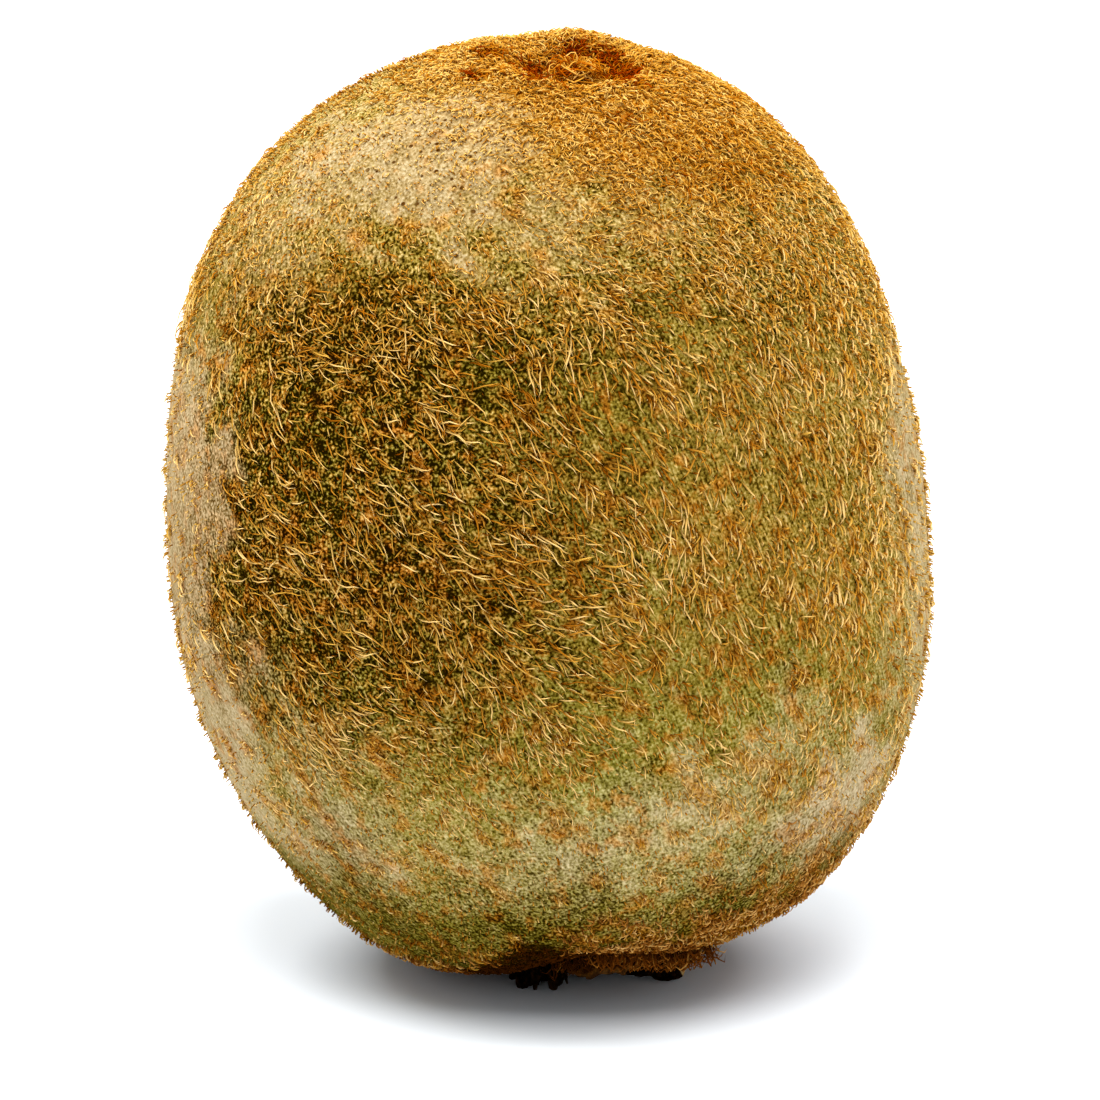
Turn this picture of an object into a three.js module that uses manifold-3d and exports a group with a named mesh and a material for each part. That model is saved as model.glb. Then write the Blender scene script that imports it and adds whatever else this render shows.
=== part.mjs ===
// A ripe green kiwi fruit as picked, standing upright on its stalk end: the berry in its skin, the
// dried calyx under it with the scar of its stalk, and the dried styles in the dimple on top.
// Millimetres, +Z up. The origin is on the surface that the fruit stands on, at the middle of the
// calyx. The front is -Y: the dimple leans that way, and the berry bulges most to -X.
import * as THREE from "three";
import { mergeVertices } from "three/addons/utils/BufferGeometryUtils.js";
import Module from "manifold-3d";

const wasm = await Module();
wasm.setup();

// ---- The berry ----
const HALF_WIDTH = 26.16; // along X, at the belly
const HALF_DEPTH = 24.5; // along Y: a kiwi is a little flattened
const BELLY_Z = 28.7; // height of the widest ring
const CROWN_RISE = 36.05; // belly to the top of the oval, before the dimple
const BASE_DROP = 30.9; // belly to the foot of the oval, before the base is flattened
const CROWN_FULLNESS = 2.36; // superellipse exponents: 2 is an ellipse, and more is boxier
const BASE_FULLNESS = 1.99;
const BERRY_X = -3.39; // the oval's axis stands beside the stalk
const LEAN = 0.08; // how far the crown bulges to -X and the base to +X
const RINGS = 68; // rows of facets from pole to pole
const MERIDIANS = 72;
const POLE_CROWDING = 0.2; // draws the rows towards the two ends, where the detail is

// The base is flattened against a plane that is lowest at the back left, where the skin touches down.
const BASE_LEVEL = 0.38; // the plane's height over the origin
const BASE_SLOPE_X = 0.124;
const BASE_SLOPE_Y = -0.174;
const BASE_ROUNDING = 2.75; // how softly the flank turns into the base
// In front of the calyx the base is drawn up, so that the sepals show under it.
const FRONT_ARCH = { rise: 2.2, x: -0.3, y: -8.4, halfWidth: 4.15, halfLength: 7.7 };

// Broad, shallow unevenness of the flank.
const UNEVENNESS = [
  { height: 0.2, wavesRound: 3, phaseRound: 4.66, wavesUp: 1, phaseUp: 1.89 },
  { height: 0.1, wavesRound: 5, phaseRound: 3.77, wavesUp: 2, phaseUp: 1.5 },
  { height: 0.12, wavesRound: 4, phaseRound: 0.02, wavesUp: 3, phaseUp: 5.03 },
];

// ---- The dimple at the flower end, with a lobed rim ----
const DIMPLE = { x: -1.6, y: -2.2, radius: 4.4, depth: 2.4 };
const RIM = { height: 0.3, radius: 6.3, width: 2.2, lobes: 5, lobing: 0.7, lobeAngle: Math.PI / 2 };
const STYLE_SEAT = { z: 62.75, radius: 1.9 };

// ---- The hollow at the stalk end, with a flat seat for the calyx and puckered skin round it ----
const CALYX_HOLLOW = { depth: 1.2, radius: 7 };
const CALYX_SEAT = { z: 2.2, radius: 4 };
// The hollow's roof starts a step over the seat, and rises ever more steeply outwards.
const HOLLOW_ROOF = { step: 0.2, slope: 0.5, curve: 0.1, rounding: 0.5 };
const PUCKER = { height: 0.2, radius: 8.4, width: 1.5, folds: 9, folding: 0.5 };

// ---- The calyx: a disc with the stalk's scar under it, and five dried sepals ----
const DISC = { radius: 3, waist: 2.5, bottom: 1.1, sides: 32 };
const SCAR = { radius: 2.1, neck: 1.8, chamfer: 0.25 };
const SEPAL = { thickness: 0.7, root: 2.1, rootZ: 1.6, steps: 12, strips: 8 };
const SKIN_CLEARANCE = 0.35; // between a sepal or a style and the skin that it lies against
const SEPAL_RUFFLE = 0.2;
const SEPAL_LIFT = 0.05; // each sepal keeps this much further from the surface and the skin than the last
// Each sepal: the way it points in degrees from +X, how far it reaches, its half width, the height of
// its shoulder and of its tip, how far its edges curl up, how far it twists, and its ruffle's phase.
const SEPALS = [
  { heading: 234, reach: 7.7, halfWidth: 2.5, shoulderZ: 1.3, tipZ: 0.3, cup: 0.8, twist: -0.1, phase: 0.4 },
  { heading: 277, reach: 5.3, halfWidth: 2.6, shoulderZ: 1.55, tipZ: 0.5, cup: 0.1, twist: 0.05, phase: 1.9 },
  { heading: 326, reach: 6.9, halfWidth: 2, shoulderZ: 1.2, tipZ: 0.5, cup: 0.5, twist: 0.2, phase: 3.1 },
  { heading: 48, reach: 6.1, halfWidth: 2.3, shoulderZ: 1.3, tipZ: 0.6, cup: 0.35, twist: -0.12, phase: 4.6 },
  { heading: 142, reach: 5.6, halfWidth: 2.2, shoulderZ: 1.1, tipZ: 0.35, cup: 0.1, twist: 0.06, phase: 5.5 },
];

// ---- The dried styles ----
const STYLES = { count: 16, shortest: 2, longest: 3.5, root: 0.4, tip: 0.3, sides: 5, steps: 5 };
const STYLE_BOSS = { foot: 1.3, top: 0.75, height: 1, sides: 14 };

/** A repeatable stream of numbers from 0 to 1. */
function seededRandom(seed) {
  let state = seed;
  return () => {
    state = (state * 1664525 + 1013904223) % 4294967296;
    return state / 4294967296;
  };
}

/** The larger of two heights, with the corner between them rounded. */
function softMax(a, b, rounding) {
  return (a + b + Math.hypot(a - b, rounding)) / 2;
}

/** The smaller of two heights, with the corner between them rounded. */
function softMin(a, b, rounding) {
  return (a + b - Math.hypot(a - b, rounding)) / 2;
}

/** A smooth bump: 1 where value is at centre, fading out over width. */
function bump(value, centre, width) {
  return Math.exp(-(((value - centre) / width) ** 2));
}

/** A plateau that is 1 near 0 and drops to 0 round value = radius; a larger power drops more sharply. */
function plateau(value, radius, power) {
  return Math.exp(-((value / radius) ** power));
}

/** The point of the plain oval in this direction from the belly's middle. */
function ovalPoint(direction) {
  const up = direction.z > 0;
  const fullness = up ? CROWN_FULLNESS : BASE_FULLNESS;
  const across = Math.hypot(direction.x / HALF_WIDTH, direction.y / HALF_DEPTH);
  const along = Math.abs(direction.z) / (up ? CROWN_RISE : BASE_DROP);
  const reach = (across ** fullness + along ** fullness) ** (-1 / fullness);
  const lean = 1 - LEAN * direction.z * direction.x * Math.hypot(direction.x, direction.y);
  return new THREE.Vector3(BERRY_X, 0, BELLY_Z).addScaledVector(direction, reach * lean);
}

/** How far the flank stands out in this direction. */
function unevenness(direction) {
  const round = Math.atan2(direction.y, direction.x);
  const flank = 1 - direction.z ** 2;
  const waves = UNEVENNESS.map(
    (wave) =>
      wave.height *
      Math.sin(wave.wavesRound * round + wave.phaseRound) *
      Math.cos(wave.wavesUp * Math.PI * direction.z + wave.phaseUp),
  );
  return flank * waves.reduce((sum, wave) => sum + wave, 0);
}

/** How far the crown's rim stands up at this place, less the depth of the dimple inside it. */
function crownRelief(x, y) {
  const out = Math.hypot(x - DIMPLE.x, y - DIMPLE.y);
  const angle = Math.atan2(y - DIMPLE.y, x - DIMPLE.x);
  const lobe = 1 + RIM.lobing * Math.cos(RIM.lobes * (angle - RIM.lobeAngle));
  const rim = RIM.height * lobe * bump(out, RIM.radius, RIM.width);
  return rim - DIMPLE.depth * plateau(out, DIMPLE.radius, 4);
}

/** How far the hollow round the calyx is raised at this place, less the puckered folds of its rim. */
function baseRelief(x, y) {
  const out = Math.hypot(x, y);
  const fold = 1 + PUCKER.folding * Math.cos(PUCKER.folds * Math.atan2(y, x));
  const pucker = PUCKER.height * fold * bump(out, PUCKER.radius, PUCKER.width);
  return CALYX_HOLLOW.depth * plateau(out, CALYX_HOLLOW.radius, 6) - pucker;
}

/** Height of the plane that flattens the base, with its arch in front of the calyx. */
function basePlane(x, y) {
  const aside = bump(x, FRONT_ARCH.x, FRONT_ARCH.halfWidth);
  const ahead = bump(y, FRONT_ARCH.y, FRONT_ARCH.halfLength);
  return BASE_LEVEL + BASE_SLOPE_X * x + BASE_SLOPE_Y * y + FRONT_ARCH.rise * aside * ahead;
}

/** The highest that the skin may be over the hollow at this place. */
function hollowRoof(x, y) {
  const out = Math.hypot(x, y) - CALYX_SEAT.radius;
  return CALYX_SEAT.z + HOLLOW_ROOF.step + HOLLOW_ROOF.slope * out + HOLLOW_ROOF.curve * out ** 2;
}

/** The skin's point in this direction from the belly's middle. */
function skinPoint(direction) {
  const point = ovalPoint(direction).addScaledVector(direction, unevenness(direction));
  if (direction.z > 0) {
    point.z += crownRelief(point.x, point.y);
    if (Math.hypot(point.x - DIMPLE.x, point.y - DIMPLE.y) < STYLE_SEAT.radius) point.z = STYLE_SEAT.z;
    return point;
  }
  const plane = basePlane(point.x, point.y);
  const roof = hollowRoof(point.x, point.y);
  point.z = softMax(point.z, plane, BASE_ROUNDING) + baseRelief(point.x, point.y);
  point.z = softMin(point.z, roof, HOLLOW_ROOF.rounding);
  if (Math.hypot(point.x, point.y) < CALYX_SEAT.radius) point.z = CALYX_SEAT.z;
  point.z = Math.max(point.z, 0); // the spot that touches down is flat
  return point;
}

/** The direction from the belly's middle to a place. */
function directionTo(x, y, z) {
  return new THREE.Vector3(x - BERRY_X, y, z - BELLY_Z).normalize();
}

/** Height of the skin over this place, on the crown for an end of 1 and on the base for an end of -1. */
function skinHeight(x, y, end) {
  const aim = new THREE.Vector3(x, y, BELLY_Z + end * CROWN_RISE);
  let height = 0;
  for (let step = 0; step < 8; step += 1) {
    const point = skinPoint(directionTo(aim.x, aim.y, aim.z));
    aim.x += x - point.x;
    aim.y += y - point.y;
    height = point.z;
  }
  return height;
}

/** A solid in manifold-3d from a closed geometry. */
function solidFrom(geometry) {
  const bare = geometry.clone();
  bare.deleteAttribute("normal");
  bare.deleteAttribute("uv");
  const merged = mergeVertices(bare, 1e-4);
  return new wasm.Manifold(
    new wasm.Mesh({
      numProp: 3,
      vertProperties: new Float32Array(merged.attributes.position.array),
      triVerts: new Uint32Array(merged.index.array),
    }),
  );
}

/** One closed geometry from solids that are joined where they meet. */
function joined(geometries) {
  const mesh = geometries
    .map(solidFrom)
    .reduce((whole, next) => whole.add(next))
    .getMesh();
  const geometry = new THREE.BufferGeometry();
  geometry.setAttribute("position", new THREE.BufferAttribute(new Float32Array(mesh.vertProperties), 3));
  geometry.setIndex(new THREE.BufferAttribute(new Uint32Array(mesh.triVerts), 1));
  geometry.computeVertexNormals();
  return geometry;
}

/**
 * A thin closed slab. place(s, t, face) gives its points: s from 0 to 1 along it, t from -1 to 1 across it,
 * and face 1 for its upper side and -1 for its lower one. Both sides are split into triangles alike.
 */
function slab(steps, strips, place) {
  const positions = [];
  const index = [];
  const row = strips + 1;
  const side = row * (steps + 1);
  for (const face of [1, -1]) {
    for (let i = 0; i <= steps; i += 1) {
      for (let j = 0; j <= strips; j += 1) {
        const point = place(i / steps, (2 * j) / strips - 1, face);
        positions.push(point.x, point.y, point.z);
      }
    }
  }
  for (let i = 0; i < steps; i += 1) {
    for (let j = 0; j < strips; j += 1) {
      const a = i * row + j;
      const b = a + row;
      index.push(a, b, b + 1, a, b + 1, a + 1);
      index.push(a + side, b + 1 + side, b + side, a + side, a + 1 + side, b + 1 + side);
    }
  }
  const rim = [];
  for (let i = 0; i < steps; i += 1) rim.push(i * row);
  for (let j = 0; j < strips; j += 1) rim.push(steps * row + j);
  for (let i = steps; i > 0; i -= 1) rim.push(i * row + strips);
  for (let j = strips; j > 0; j -= 1) rim.push(j);
  rim.forEach((here, at) => {
    const next = rim[(at + 1) % rim.length];
    index.push(here, here + side, next + side, here, next + side, next);
  });
  const geometry = new THREE.BufferGeometry();
  geometry.setAttribute("position", new THREE.Float32BufferAttribute(positions, 3));
  geometry.setIndex(index);
  return geometry;
}

/** The berry: a sphere with its poles drawn to the stalk and the dimple, and its points moved to the skin. */
function berryGeometry() {
  const sphere = new THREE.SphereGeometry(1, MERIDIANS, RINGS);
  sphere.rotateX(Math.PI / 2);
  sphere.deleteAttribute("normal");
  sphere.deleteAttribute("uv");
  const berry = mergeVertices(sphere, 1e-5);
  const toDimple = directionTo(DIMPLE.x, DIMPLE.y, STYLE_SEAT.z);
  const toStalk = directionTo(0, 0, CALYX_SEAT.z);
  const places = berry.attributes.position;
  const direction = new THREE.Vector3();
  for (let i = 0; i < places.count; i += 1) {
    direction.fromBufferAttribute(places, i);
    const round = Math.atan2(direction.y, direction.x);
    const evenTilt = Math.acos(THREE.MathUtils.clamp(direction.z, -1, 1));
    const tilt = evenTilt - POLE_CROWDING * Math.sin(2 * evenTilt);
    direction.setFromSphericalCoords(1, tilt, round);
    direction.set(direction.z, direction.x, direction.y);
    const pole = direction.z > 0 ? toDimple : toStalk;
    const pull = Math.abs(direction.z) ** 3 / Math.abs(pole.z);
    direction.x += pole.x * pull;
    direction.y += pole.y * pull;
    places.setXYZ(i, ...skinPoint(direction.normalize()).toArray());
  }
  berry.computeVertexNormals();
  return berry;
}

/** One dried sepal: an oval blade that runs out under the skin, then curls down to the surface. */
function sepalGeometry(sepal, place) {
  const half = SEPAL.thickness / 2;
  const lowest = half + SEPAL_LIFT * place;
  const spine = new THREE.CatmullRomCurve3([
    new THREE.Vector3(SEPAL.root, 0, SEPAL.rootZ),
    new THREE.Vector3(THREE.MathUtils.lerp(SEPAL.root, sepal.reach, 0.4), 0, sepal.shoulderZ),
    new THREE.Vector3(THREE.MathUtils.lerp(SEPAL.root, sepal.reach, 0.8), 0, (sepal.shoulderZ + lowest) / 2),
    new THREE.Vector3(sepal.reach, 0, sepal.tipZ),
  ]);
  const heading = THREE.MathUtils.degToRad(sepal.heading);
  return slab(SEPAL.steps, SEPAL.strips, (s, t, face) => {
    const middle = spine.getPoint(s);
    const halfWidth = sepal.halfWidth * Math.sin(Math.PI * (0.24 + 0.66 * s)) ** 0.8;
    const edge = Math.abs(t) ** 2.5;
    const ruffle = SEPAL_RUFFLE * edge * Math.sin(11 * s + 2.5 * Math.sign(t) + sepal.phase);
    const lift = sepal.cup * s * t * t + sepal.twist * s * t * halfWidth + ruffle;
    const notch = 1 + 0.09 * edge * Math.sin(17 * s + sepal.phase);
    const point = new THREE.Vector3(middle.x - 0.25 * t * t * s, halfWidth * notch * t, middle.z + lift);
    point.applyAxisAngle(new THREE.Vector3(0, 0, 1), heading);
    const highest = skinHeight(point.x, point.y, -1) - SKIN_CLEARANCE - lowest;
    point.z = THREE.MathUtils.clamp(point.z, lowest, Math.max(highest, lowest)) + half * face;
    return point;
  });
}

/** The disc that the sepals grow from, and under it the stalk's flat scar, which stands on the surface. */
function discGeometry() {
  const profile = [
    [0, 0],
    [SCAR.radius - SCAR.chamfer, 0],
    [SCAR.radius, SCAR.chamfer],
    [SCAR.neck, DISC.bottom * 0.6],
    [DISC.waist, DISC.bottom],
    [DISC.radius, CALYX_SEAT.z],
    [0, CALYX_SEAT.z],
  ].map(([radius, height]) => new THREE.Vector2(radius, height));
  return new THREE.LatheGeometry(profile, DISC.sides).rotateX(Math.PI / 2);
}

/** One dried style: a tapering thread that rises from the boss and lies down over the dimple. */
function styleGeometry(angle, length, rise, sway) {
  const points = [];
  for (let step = 0; step <= STYLES.steps; step += 1) {
    const s = step / STYLES.steps;
    const out = 0.3 + length * s;
    const turn = angle + sway * s * s;
    const x = DIMPLE.x + out * Math.cos(turn);
    const y = DIMPLE.y + out * Math.sin(turn);
    const lowest = skinHeight(x, y, 1) + STYLES.root + SKIN_CLEARANCE;
    const arch = STYLE_SEAT.z + 0.55 + rise * Math.sin(Math.PI * (0.1 + 0.75 * s));
    points.push(new THREE.Vector3(x, y, Math.max(arch, lowest)));
  }
  const path = new THREE.CatmullRomCurve3(points);
  const frames = path.computeFrenetFrames(STYLES.steps);
  const positions = [];
  for (let step = 0; step <= STYLES.steps; step += 1) {
    const centre = path.getPointAt(step / STYLES.steps);
    const radius = THREE.MathUtils.lerp(STYLES.root, STYLES.tip, step / STYLES.steps);
    for (let side = 0; side < STYLES.sides; side += 1) {
      const round = (2 * Math.PI * side) / STYLES.sides;
      const corner = centre.clone();
      corner.addScaledVector(frames.normals[step], radius * Math.cos(round));
      corner.addScaledVector(frames.binormals[step], radius * Math.sin(round));
      positions.push(...corner.toArray());
    }
  }
  const index = [];
  for (let step = 0; step < STYLES.steps; step += 1) {
    for (let side = 0; side < STYLES.sides; side += 1) {
      const a = step * STYLES.sides + side;
      const b = step * STYLES.sides + ((side + 1) % STYLES.sides);
      index.push(a, b, b + STYLES.sides, a, b + STYLES.sides, a + STYLES.sides);
    }
  }
  const last = STYLES.steps * STYLES.sides;
  for (let side = 1; side < STYLES.sides - 1; side += 1) {
    index.push(0, side + 1, side);
    index.push(last, last + side, last + side + 1);
  }
  const geometry = new THREE.BufferGeometry();
  geometry.setAttribute("position", new THREE.Float32BufferAttribute(positions, 3));
  geometry.setIndex(index);
  return geometry;
}

/** The boss that the styles grow from, flat on its seat in the dimple. */
function bossGeometry() {
  const { top, foot, height, sides } = STYLE_BOSS;
  const boss = new THREE.CylinderGeometry(top, foot, height, sides).rotateX(Math.PI / 2);
  boss.translate(DIMPLE.x, DIMPLE.y, STYLE_SEAT.z + height / 2);
  return boss;
}

/** All the styles, spread round the boss by the golden angle. */
function stylesGeometry() {
  const random = seededRandom(7);
  const goldenAngle = Math.PI * (3 - Math.sqrt(5));
  const threads = Array.from({ length: STYLES.count }, (_, i) => {
    const length = THREE.MathUtils.lerp(STYLES.shortest, STYLES.longest, random());
    return styleGeometry(i * goldenAngle, length, 0.5 + 0.7 * random(), 0.7 * (random() - 0.5));
  });
  return joined([bossGeometry(), ...threads]);
}

/** A named mesh with its own matt material. */
function piece(name, geometry, colour, roughness) {
  const material = new THREE.MeshStandardMaterial({ color: colour, roughness, metalness: 0 });
  const mesh = new THREE.Mesh(geometry, material);
  mesh.name = name;
  return mesh;
}

const kiwi = new THREE.Group();
kiwi.add(piece("berry", berryGeometry(), 0x8a7134, 0.85));
kiwi.add(piece("calyx", joined([discGeometry(), ...SEPALS.map(sepalGeometry)]), 0x4a2c17, 0.9));
kiwi.add(piece("dried_styles", stylesGeometry(), 0x5a2c12, 0.85));

export default kiwi;
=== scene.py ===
"""A whole green kiwi fruit that stands on its dried calyx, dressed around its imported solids.

Lengths are millimetres until a mesh is made, where they become metres. +Z is up and -Y is the front.
"""

from __future__ import annotations

import logging
import math
from dataclasses import dataclass, field
from enum import Enum
from typing import ClassVar

import bpy
import numpy as np
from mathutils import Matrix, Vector

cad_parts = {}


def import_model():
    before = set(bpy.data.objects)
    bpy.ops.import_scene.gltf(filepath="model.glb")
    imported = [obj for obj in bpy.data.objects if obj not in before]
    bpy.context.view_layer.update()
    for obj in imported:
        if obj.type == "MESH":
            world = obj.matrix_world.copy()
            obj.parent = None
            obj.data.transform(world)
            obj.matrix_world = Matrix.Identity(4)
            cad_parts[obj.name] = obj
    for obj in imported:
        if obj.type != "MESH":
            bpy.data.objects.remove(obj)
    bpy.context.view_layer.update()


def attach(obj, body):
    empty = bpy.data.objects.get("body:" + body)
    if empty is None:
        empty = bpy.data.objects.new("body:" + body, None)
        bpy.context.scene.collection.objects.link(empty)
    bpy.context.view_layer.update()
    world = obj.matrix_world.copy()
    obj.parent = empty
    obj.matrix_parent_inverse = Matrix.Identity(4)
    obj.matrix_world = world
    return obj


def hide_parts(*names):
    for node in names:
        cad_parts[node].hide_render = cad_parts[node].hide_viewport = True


LOG = logging.getLogger("kiwi")
MM = 0.001
Array = np.ndarray
Piece = bpy.types.Object
Material = bpy.types.Material
Colour = tuple[float, float, float]
Place = tuple[float, float, float]
Span = tuple[float, float]
Weights = dict[str, float]


# ----- Arithmetic on arrays of points -----


def smoothstep(low: float, high: float, value: Array) -> Array:
    """Returns 0 below low and 1 above high, with a smooth ramp between them."""
    t = np.clip((value - low) / (high - low), 0.0, 1.0)
    return t * t * (3.0 - 2.0 * t)


def fade(low: float, high: float, value: Array) -> Array:
    """Returns 1 below low and 0 above high, with a smooth ramp between them."""
    return 1.0 - smoothstep(low, high, value)


def unit(vectors: Array) -> Array:
    """Returns the vectors, each scaled to length 1."""
    return vectors / np.maximum(np.linalg.norm(vectors, axis=-1, keepdims=True), 1e-12)


class Swell:
    """A smooth, seeded field of hills and hollows in space, from about -1 to 1."""

    def __init__(self, seed: int, wavelength: float, waves: int = 14) -> None:
        """Draws the field's waves.

        Args:
            seed: Seed of the draw.
            wavelength: Typical distance from hill to hill.
            waves: How many plane waves are added up.
        """
        draw = np.random.default_rng(seed)
        spread = draw.uniform(0.7, 1.4, (waves, 1))
        self.pitch = unit(draw.normal(size=(waves, 3))) * spread * 2.0 * math.pi / wavelength
        self.phase = draw.uniform(0.0, 2.0 * math.pi, waves)
        self.scale = 1.0 / math.sqrt(waves / 2.0)

    def __call__(self, points: Array) -> Array:
        """Returns the field's value at each point."""
        return np.sin(points @ self.pitch.T + self.phase).sum(axis=-1) * self.scale


# ----- The form of the berry -----


@dataclass(frozen=True)
class Ripple:
    """One broad, shallow wave over the flank."""

    height: float
    waves_round: int
    phase_round: float
    waves_up: int
    phase_up: float


@dataclass(frozen=True)
class BerryForm:
    """The skin's surface, as a point for each direction from the middle of the belly."""

    half_width: float = 26.16
    half_depth: float = 24.5
    belly_z: float = 28.7
    crown_rise: float = 36.05
    base_drop: float = 30.9
    crown_fullness: float = 2.36
    base_fullness: float = 1.99
    axis_x: float = -3.39
    lean: float = 0.08
    base_level: float = 0.38
    base_slope_x: float = 0.124
    base_slope_y: float = -0.174
    base_rounding: float = 2.75
    arch_rise: float = 2.2
    arch_middle: Span = (-0.3, -8.4)
    arch_half_size: Span = (4.15, 7.7)
    ripples: tuple[Ripple, ...] = (
        Ripple(0.2, 3, 4.66, 1, 1.89),
        Ripple(0.1, 5, 3.77, 2, 1.5),
        Ripple(0.12, 4, 0.02, 3, 5.03),
    )
    dimple: Span = (-1.6, -2.2)
    dimple_radius: float = 4.4
    dimple_depth: float = 2.4
    rim_height: float = 0.3
    rim_radius: float = 6.3
    rim_width: float = 2.2
    rim_lobes: int = 5
    rim_lobing: float = 0.7
    style_seat: Span = (62.75, 1.9)
    hollow_depth: float = 1.2
    hollow_radius: float = 7.0
    calyx_seat: Span = (2.2, 4.0)
    roof_step: float = 0.2
    roof_slope: float = 0.5
    roof_curve: float = 0.1
    roof_rounding: float = 0.5
    pucker_height: float = 0.2
    pucker_radius: float = 8.4
    pucker_width: float = 1.5
    pucker_folds: int = 9
    pucker_folding: float = 0.5
    probe_step: float = 0.012
    probe_aside: Place = (0.31, 0.17, 0.93)

    @property
    def middle(self) -> Array:
        """The middle of the belly."""
        return np.array([self.axis_x, 0.0, self.belly_z])

    def from_dimple(self, points: Array) -> Array:
        """Returns each point's distance, seen from above, from the middle of the dimple."""
        return np.hypot(points[..., 0] - self.dimple[0], points[..., 1] - self.dimple[1])

    def oval(self, direction: Array) -> Array:
        """Returns the plain oval's point in each direction, with the flank's ripples."""
        x, y, z = direction[..., 0], direction[..., 1], direction[..., 2]
        up = z > 0
        fullness = np.where(up, self.crown_fullness, self.base_fullness)
        across = np.hypot(x / self.half_width, y / self.half_depth)
        along = np.abs(z) / np.where(up, self.crown_rise, self.base_drop)
        reach = (across**fullness + along**fullness) ** (-1.0 / fullness)
        reach = reach * (1.0 - self.lean * z * x * np.hypot(x, y))
        turn = np.arctan2(y, x)
        for wave in self.ripples:
            round_wave = np.sin(wave.waves_round * turn + wave.phase_round)
            up_wave = np.cos(wave.waves_up * math.pi * z + wave.phase_up)
            reach = reach + wave.height * round_wave * up_wave * (1.0 - z**2)
        return self.middle + direction * reach[..., None]

    def crown_relief(self, points: Array) -> Array:
        """Returns how far the rim stands up at each point, less the dimple's depth."""
        out = self.from_dimple(points)
        angle = np.arctan2(points[..., 1] - self.dimple[1], points[..., 0] - self.dimple[0])
        lobe = 1.0 + self.rim_lobing * np.cos(self.rim_lobes * (angle - math.pi / 2.0))
        rim = self.rim_height * lobe * np.exp(-(((out - self.rim_radius) / self.rim_width) ** 2))
        return rim - self.dimple_depth * np.exp(-((out / self.dimple_radius) ** 4))

    def base_plane(self, points: Array) -> Array:
        """Returns the height of the plane that flattens the base, with its arch in front of the calyx."""
        plane = self.base_level + self.base_slope_x * points[..., 0] + self.base_slope_y * points[..., 1]
        off = (points[..., :2] - np.array(self.arch_middle)) / np.array(self.arch_half_size)
        return plane + self.arch_rise * np.exp(-(off**2).sum(axis=-1))

    def base_relief(self, points: Array) -> Array:
        """Returns how far the hollow round the calyx is raised at each point, less its pucker."""
        out = np.hypot(points[..., 0], points[..., 1])
        turn = np.arctan2(points[..., 1], points[..., 0])
        fold = 1.0 + self.pucker_folding * np.cos(self.pucker_folds * turn)
        ring = np.exp(-(((out - self.pucker_radius) / self.pucker_width) ** 2))
        hollow = self.hollow_depth * np.exp(-((out / self.hollow_radius) ** 6))
        return hollow - self.pucker_height * fold * ring

    def skin(self, direction: Array) -> Array:
        """Returns the skin's point in each direction from the middle of the belly.

        Args:
            direction: Unit vectors, in an array that ends in an axis of three.
        """
        point = self.oval(direction)
        x, y, z = point[..., 0], point[..., 1], point[..., 2]
        crown = z + self.crown_relief(point)
        seat_z, seat_radius = self.style_seat
        crown = np.where(self.from_dimple(point) < seat_radius, seat_z, crown)
        plane = self.base_plane(point)
        base = (z + plane + np.hypot(z - plane, self.base_rounding)) / 2.0
        base = base + self.base_relief(point)
        seat_z, seat_radius = self.calyx_seat
        out = np.hypot(x, y) - seat_radius
        roof = seat_z + self.roof_step + self.roof_slope * out + self.roof_curve * out**2
        base = (base + roof - np.hypot(base - roof, self.roof_rounding)) / 2.0
        base = np.where(out < 0.0, seat_z, base)
        base = np.maximum(base, 0.0)
        point[..., 2] = np.where(direction[..., 2] > 0, crown, base)
        return point

    def over(self, points: Array) -> tuple[Array, Array]:
        """Finds the skin nearest to points that lie close to it.

        Args:
            points: Points near the skin.

        Returns:
            The points on the skin, and the skin's outward normals there.
        """
        direction = unit(points - self.middle)
        side = unit(np.cross(direction, np.array(self.probe_aside)))
        ahead, beside = (
            self.skin(unit(direction + step)) - self.skin(unit(direction - step))
            for step in (self.probe_step * side, self.probe_step * np.cross(direction, side))
        )
        normal = unit(np.cross(ahead, beside))
        facing = np.sign((normal * direction).sum(axis=-1, keepdims=True))
        return self.skin(direction), normal * facing


# ----- Where the skin is bare, dark, golden or scurfy -----


@dataclass(frozen=True)
class Patch:
    """A soft-edged round area on the skin."""

    WANDER = 0.2
    centre: Place
    radius: float
    strength: float
    softness: float

    def cover(self, points: Array, wobble: Array) -> Array:
        """Returns the patch's strength inside it and 0 outside, with its edge moved in and out by wobble."""
        out = np.linalg.norm(points - np.array(self.centre), axis=-1) / self.radius + self.WANDER * wobble
        return self.strength * fade(1.0 - self.softness, 1.0 + self.softness, out)


def patches(*rows: tuple[float, ...]) -> tuple[Patch, ...]:
    """Returns a patch for each row of x, y, z, radius, strength and softness."""
    return tuple(Patch(row[:3], *row[3:]) for row in rows)


@dataclass(frozen=True)
class SideBands:
    """The two pale bands down the sides, a painted sheen where the hair is also sparse. Heights are
    millimetres, and turns round the fruit degrees.
    """

    drift: Span = (2.0, 2.5)
    foot: Span = (2.0, 7.0)
    low: Span = (4.0, 24.0)
    soft: Span = (14.0, 36.0)
    high: Span = (39.0, 50.0)
    high_fade: float = 0.8
    soft_fade: float = 0.25
    left_heading: float = 180.0
    left_drift: float = 1.3
    left_reach: float = 33.5
    left_blur: Span = (9.0, 5.0)
    left_back: Span = (-38.0, -10.0)
    low_reach: float = 25.0
    high_cut: float = 6.0
    soft_reach: float = 6.0
    soft_blur: Span = (16.0, 9.0)
    right_heading: float = 360.0
    right_front: Span = (10.0, 34.0)
    right_soft: float = 14.0
    right_back: Span = (-32.0, -8.0)
    right_strength: float = 0.7


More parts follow.
